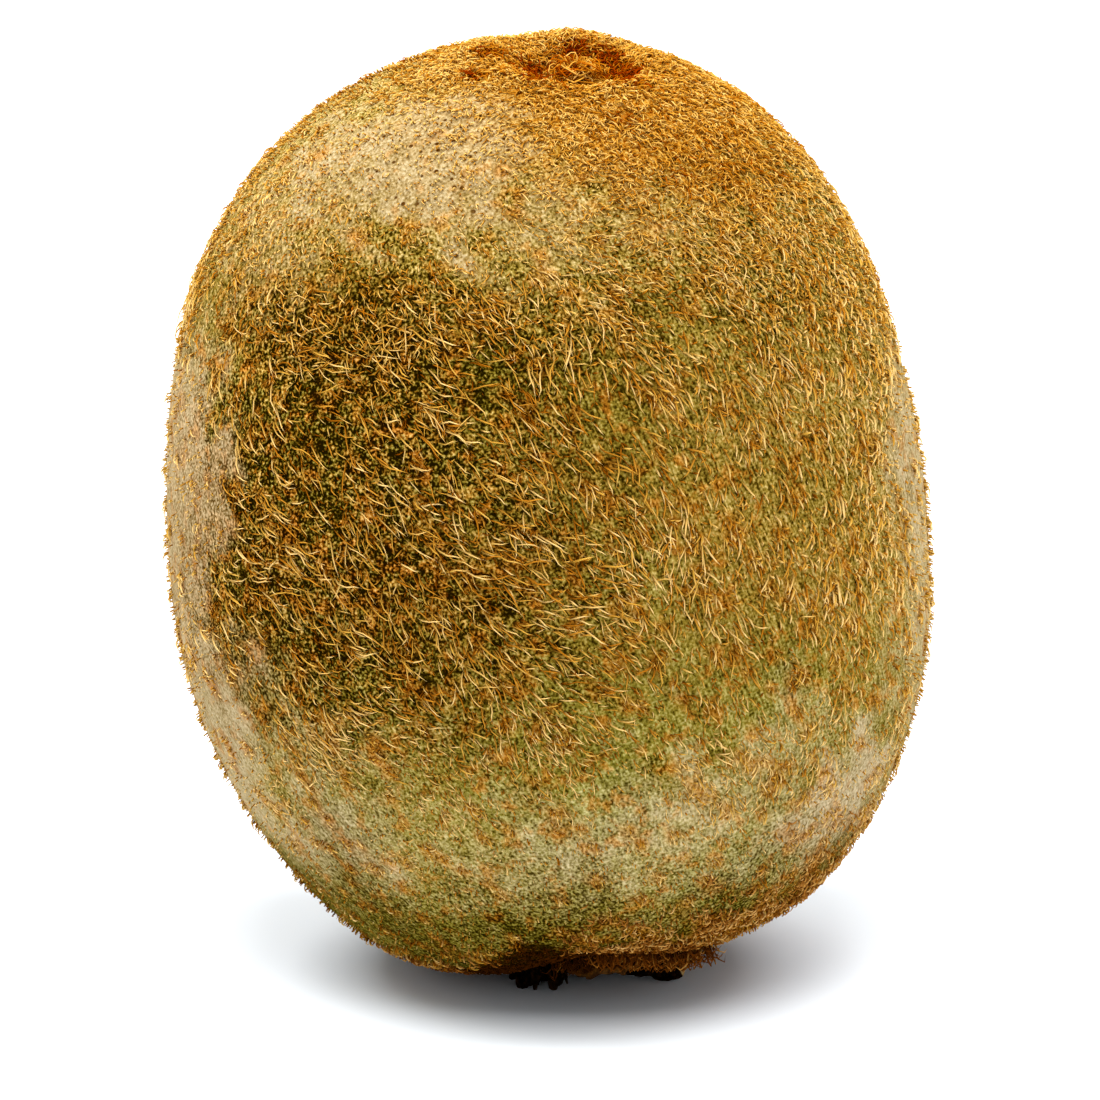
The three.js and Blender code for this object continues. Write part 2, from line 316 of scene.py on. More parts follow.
@dataclass
class SkinMap:
    """Says, for any point on the skin, what grows there and what colour it is.

    Heights and distances are millimetres, and headings and turns round the fruit are degrees. A side is a
    heading and the power that narrows it.
    """

    form: BerryForm
    # Bare pale skin; the patches on the upper front also carry a painted highlight.
    bald: tuple[Patch, ...] = patches(
        (-10.5, -12.0, 60.4, 6.4, 0.9, 0.6),
        (-16.5, -9.5, 58.5, 6.4, 0.65, 0.7),
        (-21.0, -8.0, 54.0, 6.0, 0.4, 0.6),
        (-4.0, -17.5, 57.5, 5.0, 0.45, 0.7),
        (2.5, -15.5, 57.5, 4.0, 0.35, 0.7),
        (9.0, 14.0, 57.0, 6.5, 0.75, 0.6),
        (-20.0, 12.0, 52.0, 6.0, 0.7, 0.6),
    )
    dusty_spots: tuple[Patch, ...] = patches(
        (5.9, -21.1, 16.1, 5.5, 0.5, 0.7),
        (16.2, -12.4, 14.2, 6.5, 0.9, 0.6),
        (12.3, -19.2, 19.5, 6.0, 0.42, 0.7),
        (-18.5, -12.5, 9.5, 7.5, 0.75, 0.6),
        (-20.5, -14.0, 20.0, 8.0, 0.4, 0.8),
        (-7.0, 22.0, 20.0, 8.0, 0.6, 0.6),
    )
    leafy_spots: tuple[Patch, ...] = patches(
        (-5.2, -20.3, 52.1, 5.5, 0.7, 0.7),
        (-16.5, -20.8, 25.1, 5.0, 0.6, 0.7),
        (-1.5, -24.1, 23.9, 7.0, 0.8, 0.7),
        (1.2, -24.1, 33.5, 5.0, 0.6, 0.7),
        (11.3, -19.6, 22.5, 6.0, 0.6, 0.7),
        (8.5, -18.0, 12.0, 5.0, 0.7, 0.7),
        (4.0, 24.0, 38.0, 9.0, 0.7, 0.7),
    )
    # Dark red pits: red skin, darkened partly as painted shade in the gaps between the tufts.
    pits_at: tuple[Patch, ...] = patches(
        (-1.7, 2.1, 63.9, 1.0, 1.0, 0.5),
        (0.3, 1.5, 63.5, 0.8, 0.8, 0.5),
        (0.9, 0.0, 62.9, 1.3, 1.0, 0.5),
        (1.9, -2.0, 63.0, 1.1, 0.9, 0.6),
        (-4.7, -1.1, 63.0, 1.3, 1.0, 0.5),
        (-4.2, -6.6, 64.3, 1.0, 0.7, 0.6),
        (2.2, -6.3, 63.6, 0.9, 0.6, 0.6),
        (-7.4, -2.1, 64.7, 0.9, 0.6, 0.6),
        (1.7, -10.2, 62.1, 0.7, 0.5, 0.6),
        (0.4, -3.2, 63.2, 4.2, 0.2, 0.6),
        (-4.8, -2.8, 63.6, 2.8, 0.2, 0.6),
        (-1.0, 1.6, 63.8, 2.0, 0.2, 0.6),
    )
    rim_tufts: tuple[Patch, ...] = patches(
        (-0.6, 4.6, 65.0, 3.3, 1.0, 0.5),
        (-7.6, 1.5, 65.2, 2.8, 0.8, 0.5),
    )
    # Nearly black spots of painted shade: a gap between tufts by the dimple, and low in front above the
    # calyx.
    shaded_gap_spots: tuple[Patch, ...] = patches(
        (-8.4, -5.3, 64.1, 0.8, 0.9, 0.5),
        (-4.2, -14.2, 4.7, 2.1, 1.0, 0.4),
        (-4.5, -10.8, 3.0, 3.7, 1.0, 0.3),
    )
    broad: Swell = field(default_factory=lambda: Swell(11, 26.0))
    medium: Swell = field(default_factory=lambda: Swell(12, 9.0))
    small: Swell = field(default_factory=lambda: Swell(13, 3.6))
    turning: Swell = field(default_factory=lambda: Swell(14, 13.0))
    bands: SideBands = SideBands()
    lower_heights: Span = (6.0, 30.0)
    lower_wander: float = 2.5
    lower_dust: float = 0.62
    under_heights: Span = (5.0, 16.0)
    under_wander: float = 0.5
    under_cover: float = 0.85
    upper_heights: Span = (44.0, 53.0)
    upper_wander: float = 1.5
    middle_foot: Span = (14.0, 32.0)
    middle_top: Span = (48.0, 56.0)
    shaggy_side: Span = (236.0, 1.8)
    dark_side: Span = (233.0, 6.6)
    brushed_side: Span = (310.0, 3.0)
    brushed_foot: Span = (22.0, 36.0)
    crown_reach: Span = (6.5, 15.0)
    crown_wander: float = 1.6
    crown_shift: float = 2.0
    crown_heading: float = 320.0
    fringe_middle: Span = (2.5, -0.5)
    fringe_reach: Span = (12.0, 18.5)
    fringe_wander: float = 1.2
    shoulder_heading: float = 188.0
    shoulder_turns: Span = (18.0, 48.0)
    shoulder_heights: Span = (38.0, 47.0)
    mean_lean: float = 10.0
    lean_swing: float = 56.0
    lean_heading: float = 212.0
    lean_turning: float = 13.0
    plain_tone: float = 0.58
    plain_busy: float = 0.44
    calm_sides: float = 0.2
    plain_green: float = 0.2
    upper_browning: float = 0.7
    # In the tone, under darkens the underside as painted shade, shoulder lightens the upper left as a painted
    # highlight, and the nearly black gap spots are painted shade.
    tone_from: ClassVar[Weights] = {
        "dark": -0.4, "dust_and_sheen": 0.1, "pale": 0.1, "medium": 0.03, "fringe": -0.04, "crown": 0.03,
        "under": -0.17, "upper": -0.1, "brushed": -0.07, "shoulder": 0.12, "lower": -0.07,
        "sides": -0.01, "shaded_gap": -0.6,
    }
    busy_from: ClassVar[Weights] = {
        "dark": 0.55, "under": 0.1, "upper": 0.4, "brushed": 0.15, "pale": 0.15, "lower": 0.15,
    }
    green_from: ClassVar[Weights] = {
        "leafy": 0.6, "broad": 0.1, "brushed": -0.25, "dark": 0.5, "lower": 0.45,
    }

    def turn(self, points: Array, towards: float) -> Array:
        """Returns how far round the fruit each point is from a heading in degrees, in degrees."""
        turn = np.degrees(np.arctan2(points[..., 1], points[..., 0] - self.form.axis_x)) - towards
        return (turn + 180.0) % 360.0 - 180.0

    def most(self, spots: tuple[Patch, ...], points: Array) -> Array:
        """Returns the strongest cover that any of the spots gives each point."""
        wobble = self.small(points)
        return np.max([spot.cover(points, wobble) for spot in spots], axis=0)

    def pale(self, points: Array) -> Array:
        """Returns how bare and pale the skin is; on the upper front the paleness is partly a painted
        highlight.
        """
        return self.most(self.bald, points)

    def pit(self, points: Array) -> Array:
        """Returns how much a point belongs to the dark red pits in and round the dimple: red skin, darkened
        partly as painted shade.
        """
        return self.most(self.pits_at, points)

    def shaded_gap(self, points: Array) -> Array:
        """Returns how much a point belongs to the nearly black spots of painted shade."""
        return self.most(self.shaded_gap_spots, points)

    def sides(self, points: Array) -> Array:
        """Returns how much a point belongs to the two pale bands of painted sheen down the sides."""
        z, band = points[..., 2], self.bands
        drift = band.drift[0] * self.small(points) + band.drift[1] * self.medium(points)
        low, soft, high = fade(*band.low, z), fade(*band.soft, z), smoothstep(*band.high, z)
        left = self.turn(points, band.left_heading) + band.left_drift * drift
        reach = band.left_reach + band.low_reach * low - band.high_cut * high + band.soft_reach * soft
        start = reach - band.left_blur[0] - band.soft_blur[0] * soft
        end = reach + band.left_blur[1] + band.soft_blur[1] * soft
        left = fade(start, end, left) * smoothstep(*band.left_back, left)
        right = -self.turn(points, band.right_heading) + drift
        front = fade(band.right_front[0], band.right_front[1] + band.right_soft * soft, right)
        right = front * smoothstep(*band.right_back, right)
        faded = (1.0 - band.high_fade * high) * (1.0 - band.soft_fade * soft) * smoothstep(*band.foot, z)
        return np.maximum(left, band.right_strength * right) * faded

    def dust_and_sheen(self, points: Array) -> Array:
        """Returns how dull the skin is: dust in spots and low down, and the painted sheen of the side bands.
        """
        spots = np.maximum(self.most(self.dusty_spots, points), self.lower_dust * self.lower(points))
        covered = np.maximum(self.crown(points), self.under_cover * self.under(points))
        return np.maximum(self.sides(points), spots) * (1.0 - covered)

    def crown(self, points: Array) -> Array:
        """Returns how much a point belongs to the golden crown round the dimple."""
        out = self.form.from_dimple(points) + self.crown_wander * self.small(points)
        out = out - self.crown_shift * np.cos(np.radians(self.turn(points, self.crown_heading)))
        return fade(*self.crown_reach, out) * (points[..., 2] > self.form.belly_z)

    def lower(self, points: Array) -> Array:
        """Returns how much a point belongs to the sparsely haired lower part."""
        return fade(*self.lower_heights, points[..., 2] + self.lower_wander * self.medium(points))

    def fringe(self, points: Array) -> Array:
        """Returns how much a point belongs to the curly fringe round the calyx."""
        x, y = self.fringe_middle
        out = np.hypot(points[..., 0] - x, points[..., 1] - y) + self.fringe_wander * self.small(points)
        return fade(*self.fringe_reach, out) * (points[..., 2] < self.form.belly_z)

    def towards(self, points: Array, heading: float, power: float) -> Array:
        """Returns how squarely a point faces a heading, to a power, on the fruit's middle part."""
        height = points[..., 2]
        middle = smoothstep(*self.middle_foot, height) * fade(*self.middle_top, height)
        return middle * (0.5 + 0.5 * np.cos(np.radians(self.turn(points, heading)))) ** power

    def shaggy(self, points: Array) -> Array:
        """Returns how long the hair is, from 0 to 1."""
        patchy = 0.08 * self.medium(points) + 0.06 * self.small(points)
        return np.clip(0.03 + 0.97 * self.towards(points, *self.shaggy_side) + patchy, 0.0, 1.0)

    def dark(self, points: Array) -> Array:
        """Returns how dark the skin under the long hair is, from 0 to 1."""
        patchy = 0.06 * self.medium(points) + 0.06 * self.small(points)
        return np.clip(self.towards(points, *self.dark_side) + patchy, 0.0, 1.0)

    def brushed(self, points: Array) -> Array:
        """Returns how much a point belongs to the front right, where the hair is short and hangs straight."""
        short = self.towards(points, *self.brushed_side) * smoothstep(*self.brushed_foot, points[..., 2])
        return short * (1.0 - self.dark(points))

    def upper(self, points: Array) -> Array:
        """Returns how much a point belongs to the matted upper part."""
        height = points[..., 2] + self.upper_wander * self.medium(points)
        return smoothstep(*self.upper_heights, height) * (1.0 - self.pale(points))

    def under(self, points: Array) -> Array:
        """Returns how far under the fruit a point is, where the skin is darkened as painted shade and more
        speckled.
        """
        return fade(*self.under_heights, points[..., 2] + self.under_wander * self.medium(points))

    def shoulder(self, points: Array) -> Array:
        """Returns how much a point belongs to the upper left, lightened as a painted highlight."""
        off = np.abs(self.turn(points, self.shoulder_heading))
        return fade(*self.shoulder_turns, off) * smoothstep(*self.shoulder_heights, points[..., 2])

    def leafy(self, points: Array) -> Array:
        """Returns how much a point belongs to the leafy spots."""
        return self.most(self.leafy_spots, points)

    def weighed(self, points: Array, start: Array | float, weights: Weights) -> Array:
        """Returns a number for each point: start, and each field that is named times its weight."""
        total = start
        for name, weight in weights.items():
            total = total + weight * getattr(self, name)(points)
        return total

    def strongest(self, points: Array, weights: Weights) -> Array:
        """Returns the most that any field that is named, times its weight, is at each point."""
        return np.max([weight * getattr(self, name)(points) for name, weight in weights.items()], axis=0)

    def tone(self, points: Array) -> Array:
        """Returns how light the skin is, from 0 to 1."""
        return np.clip(self.weighed(points, self.plain_tone, self.tone_from), 0.0, 1.0)

    def busy(self, points: Array) -> Array:
        """Returns how strongly the skin is speckled, from 0 to 1."""
        calm = self.calm_sides * self.sides(points)
        return self.plain_busy + self.strongest(points, self.busy_from) - calm

    def green(self, points: Array) -> Array:
        """Returns how green the skin is, from 0 to 1."""
        leafy = self.weighed(points, self.plain_green, self.green_from)
        matted = 1.0 - self.upper_browning * self.upper(points)
        return np.clip(leafy * (1.0 - self.pale(points)) * matted, 0.0, 1.0)

    def flow(self, points: Array) -> Array:
        """Returns which way the hairs lie, in radians from straight down towards the east."""
        leaning = self.mean_lean + self.lean_swing * np.cos(np.radians(self.turn(points, self.lean_heading)))
        return np.radians(leaning + self.lean_turning * self.turning(points))


# ----- Shaders -----


class Wire:
    """A number that comes out of a socket. Operators on it add Math nodes."""

    def __init__(self, shader: Shader, socket: bpy.types.NodeSocket) -> None:
        """Wraps a socket of one of the shader's nodes."""
        self.shader = shader
        self.socket = socket

    def _math(self, operation: str, *values: Wire | float, clamp: bool = False) -> Wire:
        """Returns the result of a Math node."""
        settings = {"operation": operation, "use_clamp": clamp}
        return self.shader.node("ShaderNodeMath", settings, dict(enumerate(values)))

    def __add__(self, other: Wire | float) -> Wire:
        """Returns the sum."""
        return self._math("ADD", self, other)

    __radd__ = __add__

    def __sub__(self, other: Wire | float) -> Wire:
        """Returns the difference."""
        return self._math("SUBTRACT", self, other)

    def __rsub__(self, other: Wire | float) -> Wire:
        """Returns the difference, reflected."""
        return self._math("SUBTRACT", other, self)

    def __mul__(self, other: Wire | float) -> Wire:
        """Returns the product."""
        return self._math("MULTIPLY", self, other)

    __rmul__ = __mul__

    def clamped(self) -> Wire:
        """Returns the number, held between 0 and 1."""
        return self._math("ADD", self, 0.0, clamp=True)

    def ramp(self, low: float, high: float) -> Wire:
        """Returns 0 below low and 1 above high, with a smooth ramp between them."""
        settings = {"interpolation_type": "SMOOTHSTEP"}
        return self.shader.node("ShaderNodeMapRange", settings, {0: self, 1: low, 2: high})


class Shader:
    """A material, built node by node."""

    def __init__(self, name: str) -> None:
        """Makes an empty material of this name."""
        self.material = bpy.data.materials.new(name)
        self.material.use_nodes = True
        self.tree = self.material.node_tree
        self.tree.nodes.clear()

    def node(
        self,
        kind: str,
        settings: dict[str, object] | None = None,
        sockets: dict[str | int, object] | None = None,
        out: str | int = 0,
    ) -> Wire:
        """Adds a node.

        Args:
            kind: The node's type.
            settings: Its settings, which are set first. "stops" holds a ramp's positions and colours.
            sockets: Values or wires for its sockets, by name or number.
            out: The output that is wanted.

        Returns:
            A wire from that output.
        """
        node = self.tree.nodes.new(kind)
        for name, value in (settings or {}).items():
            if name == "stops":
                self._set_stops(node.color_ramp, value)
            else:
                setattr(node, name, value)
        for name, value in (sockets or {}).items():
            socket = node.inputs[name]
            if isinstance(value, Wire):
                self.tree.links.new(value.socket, socket)
            elif isinstance(value, tuple) and len(value) == 3 and socket.type == "RGBA":
                socket.default_value = (*value, 1.0)
            else:
                socket.default_value = value
        return Wire(self, node.outputs[out])

    @staticmethod
    def _set_stops(ramp: bpy.types.ColorRamp, stops: list[tuple[float, Colour]]) -> None:
        """Gives a ramp its stops."""
        while len(ramp.elements) < len(stops):
            ramp.elements.new(1.0)
        for element, (position, colour) in zip(ramp.elements, stops):
            element.position = position
            element.color = (*colour, 1.0)

    def place(self) -> Wire:
        """Returns the point on the piece, in millimetres."""
        metres = self.node("ShaderNodeTexCoord", out="Object")
        return self.shade(metres, 1.0 / MM)

    def attribute(self, name: str) -> Wire:
        """Returns a number that the mesh holds for each vertex."""
        return self.node("ShaderNodeAttribute", {"attribute_name": name}, out="Fac")

    def noise(self, place: Wire, wavelength: float, detail: float = 2.0, rough: float = 0.5) -> Wire:
        """Returns noise of this wavelength in millimetres, from 0 to 1."""
        sockets = {"Vector": place, "Scale": 1.0 / wavelength, "Detail": detail, "Roughness": rough}
        return self.node("ShaderNodeTexNoise", None, sockets)

    def cells(self, place: Wire, size: float) -> Wire:
        """Returns the distance to the nearest point of a cell pattern, in cells of this size."""
        sockets = {"Vector": place, "Scale": 1.0 / size}
        return self.node("ShaderNodeTexVoronoi", {"feature": "F1"}, sockets, "Distance")

    def mix(self, share: Wire | float, first: Wire | Colour, second: Wire | Colour) -> Wire:
        """Returns the first colour where share is 0 and the second where it is 1."""
        sockets = {0: share, 6: first, 7: second}
        return self.node("ShaderNodeMix", {"data_type": "RGBA"}, sockets, 2)

    def ramp(self, value: Wire, stops: list[tuple[float, Colour]]) -> Wire:
        """Returns the colour that the stops give to a number."""
        return self.node("ShaderNodeValToRGB", {"stops": stops}, {0: value})

    def shade(self, colour: Wire, light: Wire | float) -> Wire:
        """Returns the colour times a number."""
        return self.node("ShaderNodeVectorMath", {"operation": "SCALE"}, {0: colour, "Scale": light})

    def tinted(self, colour: Wire, tint: Colour) -> Wire:
        """Returns the colour times another."""
        return self.node("ShaderNodeVectorMath", {"operation": "MULTIPLY"}, {0: colour, 1: tint})

    def finish(
        self, sockets: dict[str, object], bump: Wire | None = None, depth: float = 0.0
    ) -> Material:
        """Ends the material in a Principled shader.

        Args:
            sockets: What its sockets hold.
            bump: Height of the fine relief, from 0 to 1, if it has one.
            depth: What a height of 1 is, in millimetres.

        Returns:
            The material.
        """
        if bump is not None:
            relief = {"Strength": 1.0, "Distance": depth * MM, "Height": bump}
            sockets = {**sockets, "Normal": self.node("ShaderNodeBump", None, relief)}
        surface = self.node("ShaderNodeBsdfPrincipled", None, sockets)
        output = self.tree.nodes.new("ShaderNodeOutputMaterial")
        self.tree.links.new(surface.socket, output.inputs["Surface"])
        return self.material


@dataclass(frozen=True)
class SkinFinish:
    """The skin between the hairs: mottled olive and tan, golden on the crown and rusty by the calyx."""

    flank: tuple[Colour, ...] = (
        (0.009, 0.0045, 0.000),
        (0.046, 0.026, 0.001),
        (0.208, 0.135, 0.015),
        (0.410, 0.286, 0.076),
        (0.690, 0.492, 0.195),
    )
    gold: tuple[Colour, ...] = (
        (0.060, 0.008, 0.000),
        (0.240, 0.058, 0.001),
        (0.410, 0.160, 0.007),
        (0.580, 0.310, 0.042),
        (0.720, 0.450, 0.115),
    )
    rust: tuple[Colour, ...] = (
        (0.012, 0.003, 0.000),
        (0.090, 0.024, 0.001),
        (0.330, 0.108, 0.006),
        (0.540, 0.235, 0.036),
        (0.680, 0.380, 0.100),
    )
    # Dust, and the painted sheen of the side bands.
    dust_sheen: tuple[Colour, ...] = (
        (0.070, 0.032, 0.003),
        (0.190, 0.118, 0.036),
        (0.355, 0.268, 0.136),
        (0.495, 0.385, 0.222),
        (0.670, 0.520, 0.320),
    )
    # Bare skin; on the upper front it also carries a painted highlight.
    bare: tuple[Colour, ...] = (
        (0.030, 0.012, 0.001),
        (0.130, 0.072, 0.015),
        (0.245, 0.163, 0.058),
        (0.355, 0.262, 0.122),
        (0.485, 0.385, 0.220),
    )
    leaf: Colour = (0.79, 1.03, 0.88)
    pore: Colour = (0.060, 0.020, 0.001)
    # Red skin of the pits, darkened partly as painted shade.
    pit: Colour = (0.190, 0.018, 0.000)
    twist: float = 0.016
    comb_squash: float = 0.22
    grain_size: float = 0.20
    felt_size: float = 0.8
    patch_size: float = 1.4
    mottle_size: float = 1.5
    pore_spacing: float = 0.95
    relief: float = 0.16

    def stops(self, colours: tuple[Colour, ...]) -> list[tuple[float, Colour]]:
        """Returns the colours, spread evenly from dark to light."""
        return [(i / (len(colours) - 1), colour) for i, colour in enumerate(colours)]

    def material(self) -> Material:
        """Returns the skin's material."""
        shader = Shader("kiwi_skin")
        place = shader.place()
        pale, dust_and_sheen = shader.attribute("pale"), shader.attribute("dust_and_sheen")
        height = shader.node("ShaderNodeSeparateXYZ", None, {0: place}, "Z")
        spin = {"Vector": place, "Angle": height * self.twist}
        spun = shader.node("ShaderNodeVectorRotate", {"rotation_type": "Z_AXIS"}, spin)
        squash = (1.0, 1.0, self.comb_squash)
        combed = shader.node("ShaderNodeMapping", None, {"Vector": spun, "Scale": squash})
        fibre = shader.noise(combed, self.grain_size, 1.0)
        grain = shader.noise(place, self.grain_size, 1.0)
        mottle = shader.noise(place, self.mottle_size)
        patch = shader.noise(place, self.patch_size, 3.0, 0.6)
        dark = shader.attribute("dark")
        felt = shader.noise(place, self.felt_size, 2.0, 0.6)
        combing = (fibre - 0.5) * 1.5 * (1 - 0.9 * dark) + (felt - 0.5) * 1.4 * dark
        speckle = (grain - 0.5) * (1.8 + 0.5 * dark) + combing + (mottle - 0.5) * 0.5
        tone = shader.attribute("tone") + speckle * shader.attribute("busy")

        palettes = (self.flank, self.rust, self.gold, self.dust_sheen, self.bare)
        skin, rusty, golden, dust_sheen_skin, bare = (shader.ramp(tone, self.stops(colours)) for colours in palettes)
        skin = shader.mix(shader.attribute("green"), skin, shader.tinted(skin, self.leaf))
        ragged = (mottle - 0.5) * 0.5 + (grain - 0.5) * 0.6
        # Bare patches, with a painted highlight on the upper front.
        bald = (pale + ragged).ramp(0.05, 0.85)
        # Dust and the painted sheen of the side bands are mixed in here.
        dust_sheen_share = (dust_and_sheen + ragged).ramp(0.1, 0.95)
        skin = shader.mix(dust_sheen_share, skin, dust_sheen_skin)
        skin = shader.mix(bald, skin, bare)
        spared = (0.75 - 0.4 * pale) * (1 - 0.5 * dust_and_sheen) * (1 - 0.4 * shader.attribute("upper"))
        matted = felt.ramp(0.51, 0.62) * dark * 0.6
        blotch = ((patch + 0.04 * dark).ramp(0.53, 0.68) + matted) * spared
        skin = shader.mix(blotch.clamped(), skin, rusty)
        skin = shader.mix(shader.attribute("fringe"), skin, rusty)
        skin = shader.mix(shader.attribute("crown") * (1 - 0.8 * bald), skin, golden)
        skin = shader.mix(shader.attribute("scurf") * 0.75, skin, rusty)
        pores = shader.cells(place, self.pore_spacing)
        dot = (1 - pores.ramp(0.13, 0.22)) * bald
        skin = shader.mix(dot.clamped(), skin, self.pore)
        # Pits: red skin, darkened partly as painted shade.
        skin = shader.mix(shader.attribute("pit"), skin, self.pit)
        sockets = {"Base Color": skin, "Roughness": 0.8, "Specular IOR Level": 0.0}
        return shader.finish(sockets, grain * 0.6 + fibre * 0.4, self.relief)


TINT_STOPS = (0.0, 0.13, 0.4, 0.7, 1.0)


@dataclass(frozen=True)
class HairFinish:
    """Dried hairs: nearly black at one end of the tint scale and straw at the other, darker at the root,
    partly their own colour and partly painted shade among the hairs.
    """

    name: str
    soot: Colour
    rust: Colour
    amber: Colour
    gold: Colour
    straw: Colour

    def material(self) -> Material:
        """Returns the hairs' material, which reads the strands' own map: tint across and length up."""
        shader = Shader(self.name)
        point = shader.node("ShaderNodeUVMap", {"uv_map": StrandMesh.MAP})
        tint, along = (shader.node("ShaderNodeSeparateXYZ", None, {0: point}, axis) for axis in "XY")
        colours = (self.soot, self.rust, self.amber, self.gold, self.straw)
        stops = list(zip(TINT_STOPS, colours))
        grown = along.ramp(0.0, 0.75)
        colour = shader.ramp(tint * (0.82 + 0.26 * grown), stops)
        # Darker towards the root: partly the hair's own colour, partly painted shade among the hairs.
        colour = shader.shade(colour, 0.5 + 0.5 * grown)
        sockets = {"Base Color": colour, "Roughness": 0.7, "Specular IOR Level": 0.0}
        return shader.finish(sockets)


STRAW_HAIR = HairFinish(
    name="straw_hair",
    soot=(0.010, 0.003, 0.000),
    rust=(0.180, 0.045, 0.000),
    amber=(0.460, 0.165, 0.008),
    gold=(0.640, 0.350, 0.046),
    straw=(0.880, 0.590, 0.215),
)
GOLDEN_HAIR = HairFinish(
    name="golden_hair",
    soot=(0.230, 0.020, 0.000),
    rust=(0.340, 0.062, 0.000),
    amber=(0.450, 0.160, 0.005),
    gold=(0.660, 0.325, 0.036),
    straw=(0.870, 0.560, 0.150),
)
RUSTY_HAIR = HairFinish(
    name="rusty_hair",
    soot=(0.010, 0.003, 0.000),
    rust=(0.150, 0.036, 0.002),
    amber=(0.430, 0.160, 0.022),
    gold=(0.640, 0.310, 0.062),
    straw=(0.830, 0.500, 0.165),
)
STYLE_BROWN = HairFinish(
    name="style_brown",
    soot=(0.180, 0.018, 0.000),
    rust=(0.320, 0.060, 0.000),
    amber=(0.480, 0.160, 0.004),
    gold=(0.640, 0.300, 0.030),
    straw=(0.820, 0.490, 0.120),
)


@dataclass(frozen=True)
class HuskFinish:
    """Dry, papery tissue: nearly black where it is crumpled, partly dark dried tissue and partly painted
    shade, else brown, and tan along its edges.
    """

    name: str = "calyx_husk"
    black: Colour = (0.002, 0.001, 0.000)
    dark: Colour = (0.018, 0.006, 0.001)
    rust: Colour = (0.120, 0.030, 0.002)
    brown: Colour = (0.380, 0.140, 0.016)
    tan: Colour = (0.720, 0.460, 0.180)
    fibre_size: float = 0.4
    relief: float = 0.2

    def material(self) -> Material:
        """Returns the material, which reads the piece's edge and brown attributes."""
        shader = Shader(self.name)
        place = shader.place()
        fibre = shader.noise(place, self.fibre_size, 3.0, 0.6)
        fold = fibre.ramp(0.42, 0.62)
        rim = shader.attribute("edge")
        # Nearly black: partly dark dried tissue, partly painted shade.
        crumpled = shader.mix(fold, self.black, self.dark)
        papery = shader.mix(fold, self.rust, self.brown)
        colour = shader.mix(shader.attribute("brown"), crumpled, papery)
        colour = shader.mix((rim * (0.5 + 0.9 * fibre)).clamped(), colour, self.tan)
        sockets = {"Base Color": colour, "Roughness": 0.8, "Specular IOR Level": 0.0}
        return shader.finish(sockets, fibre, self.relief)


# ----- Meshes -----


def deselect() -> None:
    """Leaves nothing selected."""
    bpy.ops.object.select_all(action="DESELECT")


def active(name: str) -> Piece:
    """Names the primitive that was just added, and its mesh, and returns it."""
    piece = bpy.context.active_object
    piece.name = name
    piece.data.name = name
    return piece


def vertices(piece: Piece) -> Array:
    """Returns the places of a piece's vertices, in millimetres."""
    flat = np.empty(len(piece.data.vertices) * 3)
    piece.data.vertices.foreach_get("co", flat)
    return flat.reshape(-1, 3) / MM


def set_vertices(piece: Piece, points: Array) -> None:
    """Puts a piece's vertices at these places, in millimetres."""
    piece.data.vertices.foreach_set("co", (points * MM).ravel())
    piece.data.update()


def set_attribute(piece: Piece, name: str, values: Array) -> None:
    """Stores a number for each vertex of a piece."""
    layer = piece.data.attributes.new(name, "FLOAT", "POINT")
    layer.data.foreach_set("value", values.astype(np.float32))


def dress(piece: Piece, material: Material, slot: str, *nodes: str) -> None:
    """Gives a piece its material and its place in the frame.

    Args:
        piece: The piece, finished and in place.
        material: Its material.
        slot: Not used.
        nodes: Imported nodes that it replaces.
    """
    piece.data.materials.clear()
    piece.data.materials.append(material)
    if nodes:
        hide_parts(*nodes)
    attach(piece, "root")
    LOG.info("%s: %d faces", piece.name, len(piece.data.polygons))


